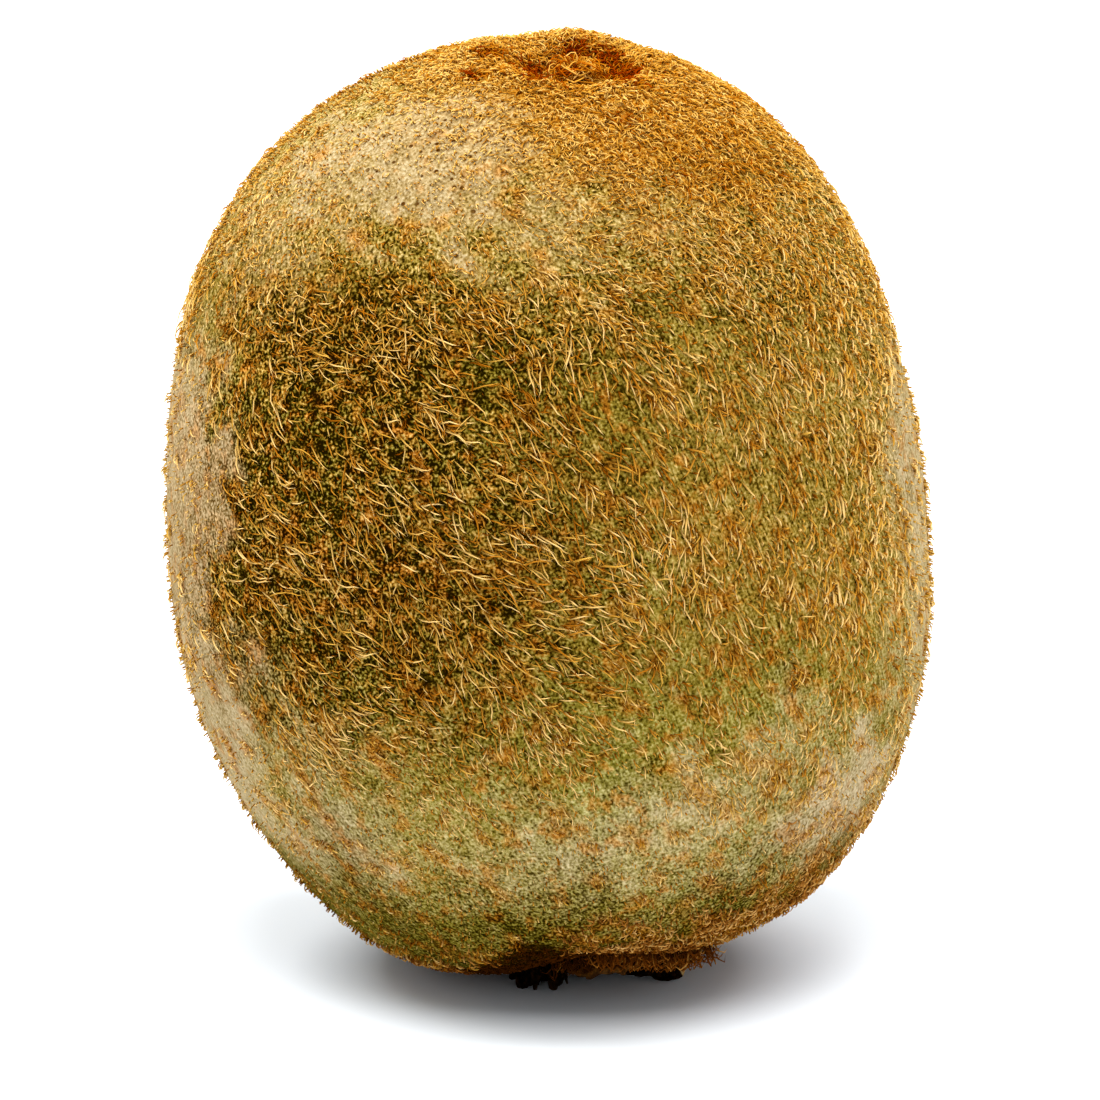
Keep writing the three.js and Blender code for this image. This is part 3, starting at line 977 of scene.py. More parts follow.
class StrandMesh:
    """Closed, tapering, three-sided strands in one mesh, with a map of tint across and length up."""

    MAP = "OFBake"
    SIDES = 3
    MAP_MARGIN = 0.03

    def __init__(self, name: str, map_width: float = 0.018) -> None:
        """Starts an empty mesh.

        Args:
            name: The piece's name.
            map_width: How wide one strand is on the map.
        """
        self.name = name
        self.map_width = map_width

    def strand(self, rings: int) -> tuple[Array, Array, Array]:
        """Says how one strand's vertices are joined.

        Args:
            rings: How many rings of vertices it has below its tip.

        Returns:
            Its quads, its triangles, and a place for each of their corners: sides across by rings up.
        """
        here = np.arange(self.SIDES)
        after = (here + 1) % self.SIDES
        low = np.arange(rings - 1)[:, None] * self.SIDES
        high = low + self.SIDES
        quads = np.stack([low + here, low + after, high + after, high + here], axis=-1).reshape(-1, 4)
        u = np.broadcast_to(np.stack([here, here + 1, here + 1, here], axis=-1), (rings - 1, self.SIDES, 4))
        v = np.arange(rings - 1)[:, None, None] + np.broadcast_to([0, 0, 1, 1], u.shape)
        quad_map = np.stack([u, v], axis=-1).reshape(-1, 2)
        last = (rings - 1) * self.SIDES
        tips = np.stack([last + here, last + after, np.full(self.SIDES, rings * self.SIDES)], axis=1)
        tips = np.concatenate([tips, [[2, 1, 0]]])
        tip_map = [[[j, rings - 1], [j + 1, rings - 1], [j + 0.5, rings]] for j in here]
        tip_map = np.array([*tip_map, [[3, 0], [1.5, 0], [0, 0.3]]], float)
        return quads, tips, np.concatenate([quad_map, tip_map.reshape(-1, 2)])

    def build(self, path: Array, normal: Array, radius: Array, tint: Array) -> Piece:
        """Makes the strands.

        Args:
            path: Each strand's points, as an array of strands by points by three.
            normal: The skin's normal at each point.
            radius: Each strand's radius at each of its points but the last, which is its tip.
            tint: Each strand's place on the tint scale, from 0 to 1.

        Returns:
            The mesh's object.
        """
        count, points, _ = path.shape
        rings = points - 1
        along = unit(np.gradient(path, axis=1))
        side = unit(np.cross(along, normal))
        lift = np.cross(side, along)
        turn = np.arange(self.SIDES) * 2.0 * math.pi / self.SIDES + math.pi / 2.0
        ring = side[:, :rings, None] * np.cos(turn)[:, None] + lift[:, :rings, None] * np.sin(turn)[:, None]
        ring = path[:, :rings, None] + ring * radius[:, :rings, None, None]
        own = rings * self.SIDES + 1
        places = np.concatenate([ring.reshape(count, -1, 3), path[:, -1:]], axis=1)

        quads, tips, flat_map = self.strand(rings)
        first = np.arange(count)[:, None, None] * own
        corners = np.concatenate(
            [(quads[None] + first).reshape(count, -1), (tips[None] + first).reshape(count, -1)], axis=1
        )
        inner = 1.0 - 2.0 * self.MAP_MARGIN
        across = (inner - self.map_width) * tint[:, None] + self.map_width * flat_map[:, 0] / self.SIDES
        u = self.MAP_MARGIN + across
        v = np.broadcast_to(self.MAP_MARGIN + inner * flat_map[:, 1] / rings, u.shape)
        sizes = np.tile(np.array([4] * len(quads) + [3] * len(tips)), count)
        starts = np.concatenate([[0], np.cumsum(sizes)[:-1]])

        mesh = bpy.data.meshes.new(self.name)
        mesh.vertices.add(count * own)
        mesh.vertices.foreach_set("co", (places * MM).ravel())
        mesh.loops.add(corners.size)
        mesh.loops.foreach_set("vertex_index", corners.ravel().astype(np.int32))
        mesh.polygons.add(len(sizes))
        mesh.polygons.foreach_set("loop_start", starts.astype(np.int32))
        mesh.polygons.foreach_set("use_smooth", np.ones(len(sizes), bool))
        layer = mesh.uv_layers.new(name=self.MAP)
        layer.data.foreach_set("uv", np.stack([u, v], axis=-1).ravel())
        mesh.update(calc_edges=True)
        mesh.validate()
        piece = bpy.data.objects.new(self.name, mesh)
        bpy.context.scene.collection.objects.link(piece)
        return piece


# ----- The berry and its coat -----


@dataclass
class Berry:
    """The skin of the fruit, in one closed mesh."""

    form: BerryForm
    skin_map: SkinMap
    finish: SkinFinish = field(default_factory=SkinFinish)
    segments: int = 216
    rings: int = 170
    pole_crowding: float = 0.2
    scurf_reach: Span = (0.15, 0.85)
    dark_scurf: float = 0.2
    SHOWN = ("tone", "busy", "green", "pale", "dust_and_sheen", "dark", "crown", "fringe", "pit", "upper")
    CHUNK = 64

    def directions(self, piece: Piece) -> Array:
        """Returns a direction for each vertex of the sphere, with its poles drawn to the two ends."""
        even = unit(vertices(piece))
        turn = np.arctan2(even[:, 1], even[:, 0])
        tilt = np.arccos(np.clip(even[:, 2], -1.0, 1.0))
        tilt = tilt - self.pole_crowding * np.sin(2.0 * tilt)
        rod = np.stack([np.sin(tilt) * np.cos(turn), np.sin(tilt) * np.sin(turn), np.cos(tilt)], axis=1)
        dimple = unit(np.array([*self.form.dimple, self.form.style_seat[0]]) - self.form.middle)
        stalk = unit(np.array([0.0, 0.0, self.form.calyx_seat[0]]) - self.form.middle)
        pole = np.where(rod[:, 2:] > 0, dimple, stalk)
        pull = np.abs(rod[:, 2:]) ** 3 / np.abs(pole[:, 2:])
        rod[:, :2] += (pole * pull)[:, :2]
        return unit(rod)

    def build(self, tufts: Array) -> Piece:
        """Makes the skin.

        Args:
            tufts: Where the tufts of hair stand, which leave a rusty scurf.

        Returns:
            The skin's object.
        """
        deselect()
        bpy.ops.mesh.primitive_uv_sphere_add(segments=self.segments, ring_count=self.rings, radius=MM)
        piece = active("berry_skin")
        points = self.form.skin(self.directions(piece))
        set_vertices(piece, points)
        bpy.ops.object.shade_smooth()
        for name in self.SHOWN:
            set_attribute(piece, name, getattr(self.skin_map, name)(points))
        dark = self.dark_scurf * self.skin_map.dark(points)
        set_attribute(piece, "scurf", np.maximum(self.scurf(points, tufts), dark))
        dress(piece, self.finish.material(), "skin", "berry")
        return piece

    def scurf(self, points: Array, tufts: Array) -> Array:
        """Returns how rusty each point is, from its distance to the nearest tuft."""
        nearest = np.full(len(points), np.inf)
        for start in range(0, len(tufts), self.CHUNK):
            gap = np.linalg.norm(points[:, None] - tufts[None, start : start + self.CHUNK], axis=-1)
            nearest = np.minimum(nearest, gap.min(axis=1))
        return fade(*self.scurf_reach, nearest)


class Lie(Enum):
    """Which way a coat's hairs lie."""

    FLOW = "with the flow over the flank"
    OUTWARD = "away from the dimple"
    ANY = "any way at all"
    INWARD = "towards the calyx"


class Zone(Enum):
    """Where a coat grows."""

    FLANK = "the flank, but hardly on bare patches"
    THIN = "the flank, but less among the long hair"
    ALL = "everywhere but in the dimple and under the fruit"
    UPPER = "the upper part, outside the dimple"
    CROWN = "round the dimple"
    DIMPLE = "the dimple's wall and its rim"
    FRINGE = "round the calyx"
    LIP = "the front of the lip round the hollow that the calyx stands in"
    RIM = "the tufts on the dimple's rim"


@dataclass(frozen=True)
class Coat:
    """One kind of hair: where it grows, how much of it, and its shape. Angles are in degrees."""

    name: str
    zone: Zone
    count: int
    points: int
    length: Span
    radius: Span
    lift: Span
    lie: Lie
    jitter: float
    curl: float
    wave: float
    tint: Span
    bias: float = 1.0
    finish: HairFinish = STRAW_HAIR
    hides: bool = False
    parts: int = 1
    tuft_share: float = 0.0
    seed: int = 1


class CoatGrower:
    """Grows coats of hair on the berry's skin."""

    ROOT_DEPTH = 0.1
    FLOOR_GAP = 0.12
    TUFT_SPREAD = 0.22
    PALE_SHORTER = 0.4
    SPARSE_SHORTER = 0.45
    BRUSHED_STRAIGHTER = 0.6
    BRUSHED_CALMER = 0.5
    BRUSHED_THICKER = 0.4
    WAVES = 2.2
    ARCH_TURN, ARCH_POWER = 0.78, 0.8
    TAPER, TAPER_POWER = 0.62, 1.4
    LIP_TOP = 6.0
    OFF_CROWN = 99.0
    # Hairs are lighter in the dust and the painted sheen of the side bands, and on the bare patches, which
    # carry a painted highlight on the upper front.
    TINT_FROM: ClassVar[Weights] = {"medium": 0.06, "dust_and_sheen": 0.45, "pale": 0.25, "brushed": 0.1}

    def __init__(self, form: BerryForm, skin_map: SkinMap, skin: Piece) -> None:
        """Measures the skin's faces, so that roots can be spread evenly over it.

        Args:
            form: The berry's form.
            skin_map: What grows where.
            skin: The berry's skin.
        """
        self.form = form
        self.skin_map = skin_map
        mesh = skin.data
        mesh.calc_loop_triangles()
        corners = np.empty(len(mesh.loop_triangles) * 3, np.int32)
        mesh.loop_triangles.foreach_get("vertices", corners)
        corners = np.sort(corners.reshape(-1, 3), axis=1)
        corners = corners[np.lexsort(corners.T[::-1])]  # or their order differs from run to run
        self.triangles = vertices(skin)[corners]
        sides = self.triangles[:, 1:] - self.triangles[:, :1]
        area = np.linalg.norm(np.cross(sides[:, 0], sides[:, 1]), axis=1) / 2.0
        self.chances = np.cumsum(area) / area.sum()

    def spread(self, draw: np.random.Generator, count: int) -> Array:
        """Returns points spread evenly, but at random, over the skin."""
        chosen = self.triangles[np.searchsorted(self.chances, draw.random(count))]
        a, b = draw.random((2, count, 1))
        flip = a + b > 1.0
        a, b = np.where(flip, 1.0 - a, a), np.where(flip, 1.0 - b, b)
        return chosen[:, 0] + a * (chosen[:, 1] - chosen[:, 0]) + b * (chosen[:, 2] - chosen[:, 0])

    def density(self, zone: Zone, points: Array) -> Array:
        """Returns how thickly hair of a zone grows at each point, from 0 to 1."""
        chart = self.skin_map
        x, y, z = points[..., 0], points[..., 1], points[..., 2]
        out = self.form.from_dimple(points) + (z < self.form.belly_z) * self.OFF_CROWN
        beside = np.hypot(x, y)
        patchy = np.clip(0.85 + 0.25 * chart.medium(points), 0.4, 1.0)
        open_pit = 1.0 - 0.4 * chart.pit(points)
        if zone in (Zone.FLANK, Zone.THIN):
            banded = smoothstep(0.0, 0.65, chart.sides(points))
            bare = (1.0 - 0.96 * chart.pale(points)) * (1.0 - 0.93 * banded)
            above = 1.0 - 0.95 * smoothstep(0.0, 0.75, chart.lower(points))
            thinned = 1.0 - (0.7 * chart.dark(points) + 0.4 * chart.brushed(points)) * (zone is Zone.THIN)
            return fade(54.0, 62.0, z) * above * bare * (1.0 - chart.fringe(points)) * patchy * thinned
        if zone is Zone.UPPER:
            return np.maximum(chart.upper(points), 0.7 * chart.pale(points)) * (out > 6.0)
        if zone is Zone.CROWN:
            golden = np.minimum(1.0, 1.6 * chart.crown(points))
            return golden * (1.0 - 0.6 * chart.pale(points)) * smoothstep(1.5, 3.5, out) * open_pit
        if zone is Zone.DIMPLE:
            return smoothstep(0.3, 1.2, out) * fade(4.5, 7.0, out) * open_pit
        if zone is Zone.FRINGE:
            lip = smoothstep(5.0, 8.0, x) * (z < self.LIP_TOP) * (beside < 15.0)
            return chart.fringe(points) * (beside > 4.6) * (smoothstep(0.0, 0.6, z) * (1.0 - 0.8 * lip))
        if zone is Zone.LIP:
            ring = smoothstep(6.0, 7.5, beside) * fade(10.0, 12.5, beside)
            return ring * (y < 0.0) * (z < self.LIP_TOP) * smoothstep(-3.5, -1.5, x) * fade(4.5, 7.0, x)
        if zone is Zone.RIM:
            return chart.most(chart.rim_tufts, points) * open_pit
        sparse = (1.0 - 0.4 * chart.dark(points)) * (1.0 - 0.35 * chart.lower(points))
        sparse = sparse * (1.0 - 0.45 * chart.pale(points)) * (1.0 - 0.5 * chart.sides(points))
        return sparse * patchy * (out > 4.0) * (beside > 6.0) * open_pit

    def plant(self, coat: Coat, draw: np.random.Generator, tufts: Array) -> Array:
        """Chooses a coat's roots.

        Args:
            coat: The coat.
            draw: The stream of random numbers.
            tufts: Where tufts stand.

        Returns:
            One root for each hair.
        """
        in_tufts = int(coat.count * coat.tuft_share)
        alone = coat.count - in_tufts
        kept: list[Array] = []
        while sum(map(len, kept)) < alone:
            tried = self.spread(draw, 2 * coat.count)
            kept.append(tried[draw.random(len(tried)) < self.density(coat.zone, tried)])
        roots = np.concatenate(kept)[:alone]
        if in_tufts:
            chosen = tufts[draw.integers(0, len(tufts), in_tufts)]
            roots = np.concatenate([roots, chosen + draw.normal(scale=self.TUFT_SPREAD, size=chosen.shape)])
        return roots

    def heading(
        self, coat: Coat, draw: np.random.Generator, roots: Array, normal: Array
    ) -> Array:
        """Returns the way each hair sets out along the skin.

        Args:
            coat: The coat.
            draw: The stream of random numbers.
            roots: The hairs' roots.
            normal: The skin's normals there.
        """
        axis = np.array([self.form.axis_x, 0.0, 0.0])
        east = unit(np.cross(np.array([0.0, 0.0, 1.0]), roots - axis) + 1e-6)
        east = unit(east - (east * normal).sum(axis=-1, keepdims=True) * normal)
        down = np.cross(east, normal)
        angle = draw.normal(scale=math.radians(coat.jitter), size=len(roots))
        if coat.lie is Lie.FLOW:
            angle = angle + self.skin_map.flow(roots)
        elif coat.lie is Lie.ANY:
            angle = draw.uniform(-math.pi, math.pi, len(roots))
        elif coat.lie is Lie.OUTWARD:
            away = roots - np.array([*self.form.dimple, self.form.style_seat[0]])
            angle = angle + np.arctan2((away * east).sum(axis=-1), (away * down).sum(axis=-1))
        else:
            angle = angle + np.arctan2(-(roots * east).sum(axis=-1), -(roots * down).sum(axis=-1))
        return down * np.cos(angle)[:, None] + east * np.sin(angle)[:, None]

    def paths(self, coat: Coat, draw: np.random.Generator, roots: Array) -> tuple[Array, ...]:
        """Draws each hair's path over the skin.

        Args:
            coat: The coat.
            draw: The stream of random numbers.
            roots: The hairs' roots.

        Returns:
            The paths, the skin's normals along them, and the hairs' radii at all points but the tips.
        """
        roots, normal = self.form.over(roots)
        count = len(roots)
        ahead = self.heading(coat, draw, roots, normal)
        beside = np.cross(normal, ahead)
        length = draw.uniform(*coat.length, count) * (1.0 - self.PALE_SHORTER * self.skin_map.pale(roots))
        if coat.lie is Lie.FLOW:
            length *= 0.55 + 0.5 * self.skin_map.shaggy(roots)
            sparse = np.maximum(self.skin_map.lower(roots), self.skin_map.sides(roots))
            length *= 1.0 - self.SPARSE_SHORTER * sparse
        brushed = self.skin_map.brushed(roots) * (coat.lie is Lie.FLOW)
        bend = draw.normal(scale=coat.curl, size=count) * (1.0 - self.BRUSHED_STRAIGHTER * brushed)
        phase = draw.uniform(0.0, 2.0 * math.pi, count)
        wave = draw.uniform(0.3, 1.0, count) * coat.wave * (1.0 - self.BRUSHED_CALMER * brushed)
        s = np.linspace(0.0, 1.0, coat.points)
        turned = bend[:, None] * s + wave[:, None] * np.sin(self.WAVES * math.pi * s + phase[:, None])
        step = length[:, None] / (coat.points - 1)
        forward = (np.cumsum(np.cos(turned), axis=1) - np.cos(turned[:, :1])) * step
        sideways = (np.cumsum(np.sin(turned), axis=1) - np.sin(turned[:, :1])) * step
        flat = roots[:, None] + forward[..., None] * ahead[:, None] + sideways[..., None] * beside[:, None]
        surface, up = self.form.over(flat)
        thick = (draw.uniform(*coat.radius, count) * (1.0 + self.BRUSHED_THICKER * brushed))[:, None]
        rise = draw.uniform(*coat.lift, count)[:, None]
        arch = np.sin(self.ARCH_TURN * math.pi * s) ** self.ARCH_POWER if coat.points > 2 else s
        height = np.where(s > 0.0, np.maximum(rise * arch, 0.7 * thick), -self.ROOT_DEPTH)
        path = surface + height[..., None] * up
        path[..., 2] = np.maximum(path[..., 2], self.FLOOR_GAP)
        return path, up, thick * (1.0 - self.TAPER * s[:-1] ** self.TAPER_POWER)

    def grow(self, coat: Coat, tufts: Array, material: Material) -> None:
        """Grows one coat, as one or more pieces.

        Args:
            coat: The coat.
            tufts: Where tufts stand.
            material: The hairs' material.
        """
        draw = np.random.default_rng(coat.seed)
        roots = self.plant(coat, draw, tufts)
        path, up, radius = self.paths(coat, draw, roots)
        low, high = coat.tint
        chart = self.skin_map
        drawn = low + (high - low) * draw.random(len(roots)) ** coat.bias
        tint = chart.weighed(roots, drawn, self.TINT_FROM) - 0.25 * coat.hides * chart.dark(roots)
        # Hairs lowest under the fruit are darker: painted shade.
        tint = tint - 0.1 * fade(2.5, 5.5, roots[:, 2])
        # Hairs on the front lip over the calyx's hollow are darker: painted shade.
        lip_shade = fade(11.5, 14.5, np.hypot(roots[:, 0], roots[:, 1])) * fade(4.0, 7.0, roots[:, 0])
        tint = tint - 0.4 * lip_shade * (roots[:, 2] < self.LIP_TOP)
        # Hairs in the pits and the nearly black gap spots are darkened: partly and wholly painted shade.
        tint = np.clip(np.maximum(tint, 0.12) - chart.pit(roots) - chart.shaded_gap(roots), 0.0, 1.0)
        order = np.argsort(roots[:, 1], kind="stable")
        for number, chosen in enumerate(np.array_split(order, coat.parts), start=1):
            name = coat.name if coat.parts == 1 else f"{coat.name}_{number}"
            piece = StrandMesh(name).build(path[chosen], up[chosen], radius[chosen], tint[chosen])
            dress(piece, material, "skin")


@dataclass
class HairCoats:
    """All the hair on the fruit."""

    coats: tuple[Coat, ...] = (
        Coat(
            "long_hairs", Zone.FLANK, 4300, 5, (1.0, 2.8), (0.05, 0.085), (0.12, 0.45), Lie.FLOW, 22.0,
            0.3, 0.35, (0.2, 1.0), bias=0.85, tuft_share=0.35, seed=21,
        ),
        Coat(
            "fine_hairs", Zone.THIN, 8000, 4, (0.8, 1.9), (0.045, 0.07), (0.06, 0.35), Lie.FLOW, 22.0,
            0.3, 0.25, (0.2, 1.0), bias=0.7, seed=27,
        ),
        Coat(
            "stubs", Zone.ALL, 24000, 3, (0.35, 0.95), (0.05, 0.08), (0.08, 0.35), Lie.FLOW, 36.0,
            0.6, 0.3, (0.12, 0.85), bias=1.2, hides=True, parts=2, tuft_share=0.15, seed=22,
        ),
        Coat(
            "upper_down", Zone.UPPER, 6000, 3, (0.5, 1.3), (0.05, 0.08), (0.08, 0.4), Lie.FLOW, 45.0,
            0.8, 0.3, (0.2, 1.0), bias=0.8, finish=GOLDEN_HAIR, seed=28,
        ),
        Coat(
            "fuzz", Zone.ALL, 20000, 2, (0.2, 0.5), (0.035, 0.055), (0.08, 0.3), Lie.FLOW, 50.0,
            0.0, 0.0, (0.12, 1.0), hides=True, seed=23,
        ),
        Coat(
            "crown_curls", Zone.CROWN, 7000, 4, (0.5, 1.4), (0.05, 0.08), (0.08, 0.45), Lie.OUTWARD, 60.0,
            1.5, 0.6, (0.2, 1.0), bias=0.7, finish=GOLDEN_HAIR, seed=24,
        ),
        Coat(
            "dimple_tuft", Zone.DIMPLE, 3000, 4, (0.5, 1.3), (0.055, 0.08), (0.15, 0.6), Lie.ANY, 0.0,
            1.9, 0.8, (0.2, 1.0), bias=0.7, finish=GOLDEN_HAIR, seed=25,
        ),
        Coat(
            "rim_tufts", Zone.RIM, 1300, 4, (0.5, 1.2), (0.055, 0.08), (0.1, 0.6), Lie.ANY, 0.0,
            1.9, 0.8, (0.3, 1.0), bias=0.5, finish=GOLDEN_HAIR, seed=30,
        ),
        Coat(
            "calyx_fringe", Zone.FRINGE, 5200, 4, (0.4, 1.0), (0.05, 0.085), (0.08, 0.32), Lie.INWARD, 45.0,
            1.1, 0.4, (0.12, 1.0), bias=1.1, finish=RUSTY_HAIR, seed=26,
        ),
        # Biased to the dark end of the tint scale: rust hairs, darkened as painted shade in the hollow.
        Coat(
            "lip_curtain", Zone.LIP, 500, 4, (0.5, 1.5), (0.05, 0.08), (0.4, 1.6), Lie.ANY, 0.0,
            1.0, 0.5, (0.12, 0.95), bias=3.5, finish=RUSTY_HAIR, seed=29,
        ),
    )
    tuft_count: int = 1000
    tuft_seed: int = 20

    def tufts(self, form: BerryForm, skin_map: SkinMap) -> Array:
        """Returns where tufts stand, spread evenly at random over the flank and the lower part."""
        draw = np.random.default_rng(self.tuft_seed)
        spots = form.skin(unit(draw.normal(size=(self.tuft_count, 3))))
        keep = (skin_map.crown(spots) < 0.3) & (skin_map.fringe(spots) < 0.3)
        keep &= draw.random(len(spots)) > 0.8 * skin_map.pale(spots)
        return spots[keep]

    def grow(self, grower: CoatGrower, tufts: Array) -> None:
        """Grows every coat."""
        finishes = {coat.finish.name: coat.finish for coat in self.coats}
        materials = {name: finish.material() for name, finish in finishes.items()}
        for coat in self.coats:
            grower.grow(coat, tufts, materials[coat.finish.name])


# ----- The calyx and the styles -----


@dataclass(frozen=True)
class Sepal:
    """One dried sepal. Its heading is in degrees from +X."""

    heading: float
    reach: float
    half_width: float
    shoulder_z: float
    tip_z: float
    cup: float
    twist: float
    phase: float
    crumple: float = 0.14
    rim: float = 0.4
    near_rim: float = 1.0
    brown: float = 0.4


@dataclass
class Calyx:
    """The dried calyx: a disc with the stalk's scar under it, and its sepals."""

    HEIGHT_STOPS = (0.0, 0.4, 0.8, 1.0)
    form: BerryForm
    sepals: tuple[Sepal, ...] = (
        # The first and third sepals have no brown share: nearly black, partly painted shade.
        Sepal(230, 8.4, 3.0, 1.6, 0.3, 0.9, -0.1, 0.4, crumple=0.9, rim=0.0, brown=0.0),
        Sepal(277, 5.7, 3.0, 1.3, 0.6, 0.1, 0.05, 1.9, crumple=0.2, rim=0.05, brown=0.5),
        Sepal(326, 7.1, 2.2, 0.9, 0.2, 0.3, 0.5, 3.1, rim=1.0, near_rim=0.0, brown=0.0),
        Sepal(48, 6.1, 2.3, 1.3, 0.6, 0.35, -0.12, 4.6),
        Sepal(142, 5.6, 2.2, 1.1, 0.35, 0.1, 0.06, 5.5),
    )
    thickness: float = 0.34
    root: Span = (2.1, 1.6)
    steps: int = 44
    strips: int = 30
    disc_radius: float = 3.0
    disc_waist: float = 0.32
    crumple_seed: int = 31
    crumple_size: float = 1.5
    skin_gap: float = 0.25
    floor_gap: float = 0.02
    resting_z: float = 0.35

    def spine(self, sepal: Sepal, s: Array) -> tuple[Array, Array]:
        """Returns how far out and how high the middle of a sepal is, for s from 0 to 1 along it."""
        root_out, root_z = self.root
        out = root_out + (sepal.reach - root_out) * s
        heights = [root_z, sepal.shoulder_z, (sepal.shoulder_z + self.resting_z) / 2.0, sepal.tip_z]
        curve = np.polynomial.polynomial.Polynomial.fit(self.HEIGHT_STOPS, heights, 3)
        return out, curve(s)

    def sepal_points(self, sepal: Sepal, s: Array, t: Array) -> Array:
        """Places a sepal's points.

        Args:
            sepal: The sepal.
            s: How far along it each point is, from 0 to 1.
            t: How far across it each point is, from -1 to 1.

        Returns:
            The points on the middle of its thickness.
        """
        out, height = self.spine(sepal, s)
        half_width = sepal.half_width * np.sin(math.pi * (0.24 + 0.66 * s)) ** 0.8
        edge = np.abs(t) ** 2.5
        ragged = 1.0 + 0.09 * edge * np.sin(17.0 * s + sepal.phase) + 0.06 * edge * np.sin(43.0 * s + 2.0 * t)
        lift = sepal.cup * s * t * t + sepal.twist * s * t * half_width
        lift = lift + 0.2 * edge * np.sin(11.0 * s + 2.5 * np.sign(t) + sepal.phase)
        x = out - 0.25 * t * t * s
        y = half_width * ragged * t
        turn = math.radians(sepal.heading)
        east, north = x * math.cos(turn) - y * math.sin(turn), x * math.sin(turn) + y * math.cos(turn)
        points = np.stack([east, north, height + lift], axis=-1)
        crumple = Swell(self.crumple_seed + int(sepal.phase * 10), self.crumple_size)
        points[:, 2] += sepal.crumple * crumple(points) * smoothstep(0.0, 0.3, s)
        half = self.thickness / 2.0
        ceiling = self.form.over(points * np.array([1.0, 1.0, 0.0]))[0][:, 2] - self.skin_gap - half
        floor = half + self.floor_gap
        points[:, 2] = np.clip(points[:, 2], floor, np.maximum(ceiling, floor))
        return points

    def build_sepal(self, number: int, sepal: Sepal) -> Piece:
        """Makes one sepal as a thin, crumpled blade."""
        deselect()
        bpy.ops.mesh.primitive_grid_add(x_subdivisions=self.steps, y_subdivisions=self.strips, size=2.0 * MM)
        piece = active(f"sepal_{number}")
        grid = vertices(piece)
        s, t = (grid[:, 0] + 1.0) / 2.0, grid[:, 1]
        set_vertices(piece, self.sepal_points(sepal, s, t))
        rim = np.maximum(smoothstep(0.84, 0.98, np.abs(t)), smoothstep(0.9, 0.99, s))
        shown = np.where(t < 0.0, sepal.near_rim, 1.0)
        set_attribute(piece, "edge", sepal.rim * rim * shown)
        set_attribute(piece, "brown", np.full(len(s), sepal.brown))
        body = piece.vertex_groups.new(name="body")
        for index, thin in enumerate(rim):
            body.add([index], 1.0 - 0.7 * float(thin), "REPLACE")
        solid = piece.modifiers.new("thickness", "SOLIDIFY")
        solid.thickness = self.thickness * MM
        solid.offset = 0.0
        solid.vertex_group = body.name
        bpy.ops.object.modifier_apply(modifier=solid.name)
        bpy.ops.object.shade_smooth()
        return piece

    def build_disc(self) -> Piece:
        """Makes the disc that the sepals grow from, with the flat scar under it."""
        deselect()
        height = self.form.calyx_seat[0] - 0.05
        middle = (0.0, 0.0, height / 2.0 * MM)
        bpy.ops.mesh.primitive_cylinder_add(
            vertices=48, radius=self.disc_radius * MM, depth=height * MM, location=middle
        )
        piece = active("calyx_disc")
        bpy.ops.object.transform_apply(location=True, rotation=False, scale=False)
        bpy.ops.object.mode_set(mode="EDIT")
        bpy.ops.mesh.select_all(action="SELECT")
        bpy.ops.mesh.subdivide(number_cuts=5)
        bpy.ops.object.mode_set(mode="OBJECT")
        points = vertices(piece)
        out = np.hypot(points[:, 0], points[:, 1])
        waist = 1.0 - self.disc_waist * fade(0.2, 1.6, points[:, 2])
        points[:, :2] *= waist[:, None]
        set_vertices(piece, points)
        set_attribute(piece, "edge", 0.6 * fade(0.3, 0.8, out / self.disc_radius))
        set_attribute(piece, "brown", np.full(len(out), 0.6))
        bpy.ops.object.shade_smooth()
        return piece

    def build(self, finish: HuskFinish) -> Piece:
        """Makes the calyx as one piece.

        Args:
            finish: Its finish.

        Returns:
            Its object.
        """
        material = finish.material()
        parts = [self.build_sepal(n, sepal) for n, sepal in enumerate(self.sepals, start=1)]
        parts.append(self.build_disc())
        deselect()
        for part in parts:
            part.select_set(True)
        bpy.context.view_layer.objects.active = parts[-1]
        bpy.ops.object.join()
        piece = active("dried_calyx")
        dress(piece, material, "calyx", "calyx")
        return piece


@dataclass
class Styles:
    """The dried styles that lie in the dimple."""

    form: BerryForm
    count: int = 150
    points: int = 7
    length: Span = (0.8, 3.2)
    radius: float = 0.065
    tip_swelling: float = 1.6
    rise: Span = (0.4, 1.8)
    sway: float = 0.9
    seed: int = 41
    GOLDEN_TURN = math.pi * (3.0 - math.sqrt(5.0))

    def build(self, material: Material) -> Piece:
        """Makes the styles, spread round the middle of the dimple."""
        draw = np.random.default_rng(self.seed)
        turn = np.arange(self.count) * self.GOLDEN_TURN
        length = draw.uniform(*self.length, self.count)
        sway = draw.normal(scale=self.sway, size=self.count)
        rise = draw.uniform(*self.rise, self.count)
        s = np.linspace(0.0, 1.0, self.points)
        out = 0.25 + length[:, None] * (s - 0.35 * s**3)
        angle = turn[:, None] + sway[:, None] * s**2
        x = self.form.dimple[0] + out * np.cos(angle)
        y = self.form.dimple[1] + out * np.sin(angle)
        near = np.stack([x, y, np.full_like(x, self.form.style_seat[0])], axis=-1)
        floor = self.form.over(near)[0][..., 2] + self.radius + 0.1
        arch = self.form.style_seat[0] + 0.2 + rise[:, None] * np.sin(math.pi * (0.1 + 0.75 * s))
        path = np.stack([x, y, np.maximum(floor, arch)], axis=-1)
        up = np.broadcast_to(np.array([0.0, 0.0, 1.0]), path.shape)
        thick = self.radius * (1.0 - 0.4 * s[:-1])
        thick[-1] *= self.tip_swelling
        thick = np.broadcast_to(thick, (self.count, self.points - 1))
        tint = draw.random(self.count) ** 1.3
        piece = StrandMesh("dried_style_threads", 0.1).build(path, up, thick, tint)
        dress(piece, material, "styles", "dried_styles")
        return piece


# ----- The studio -----


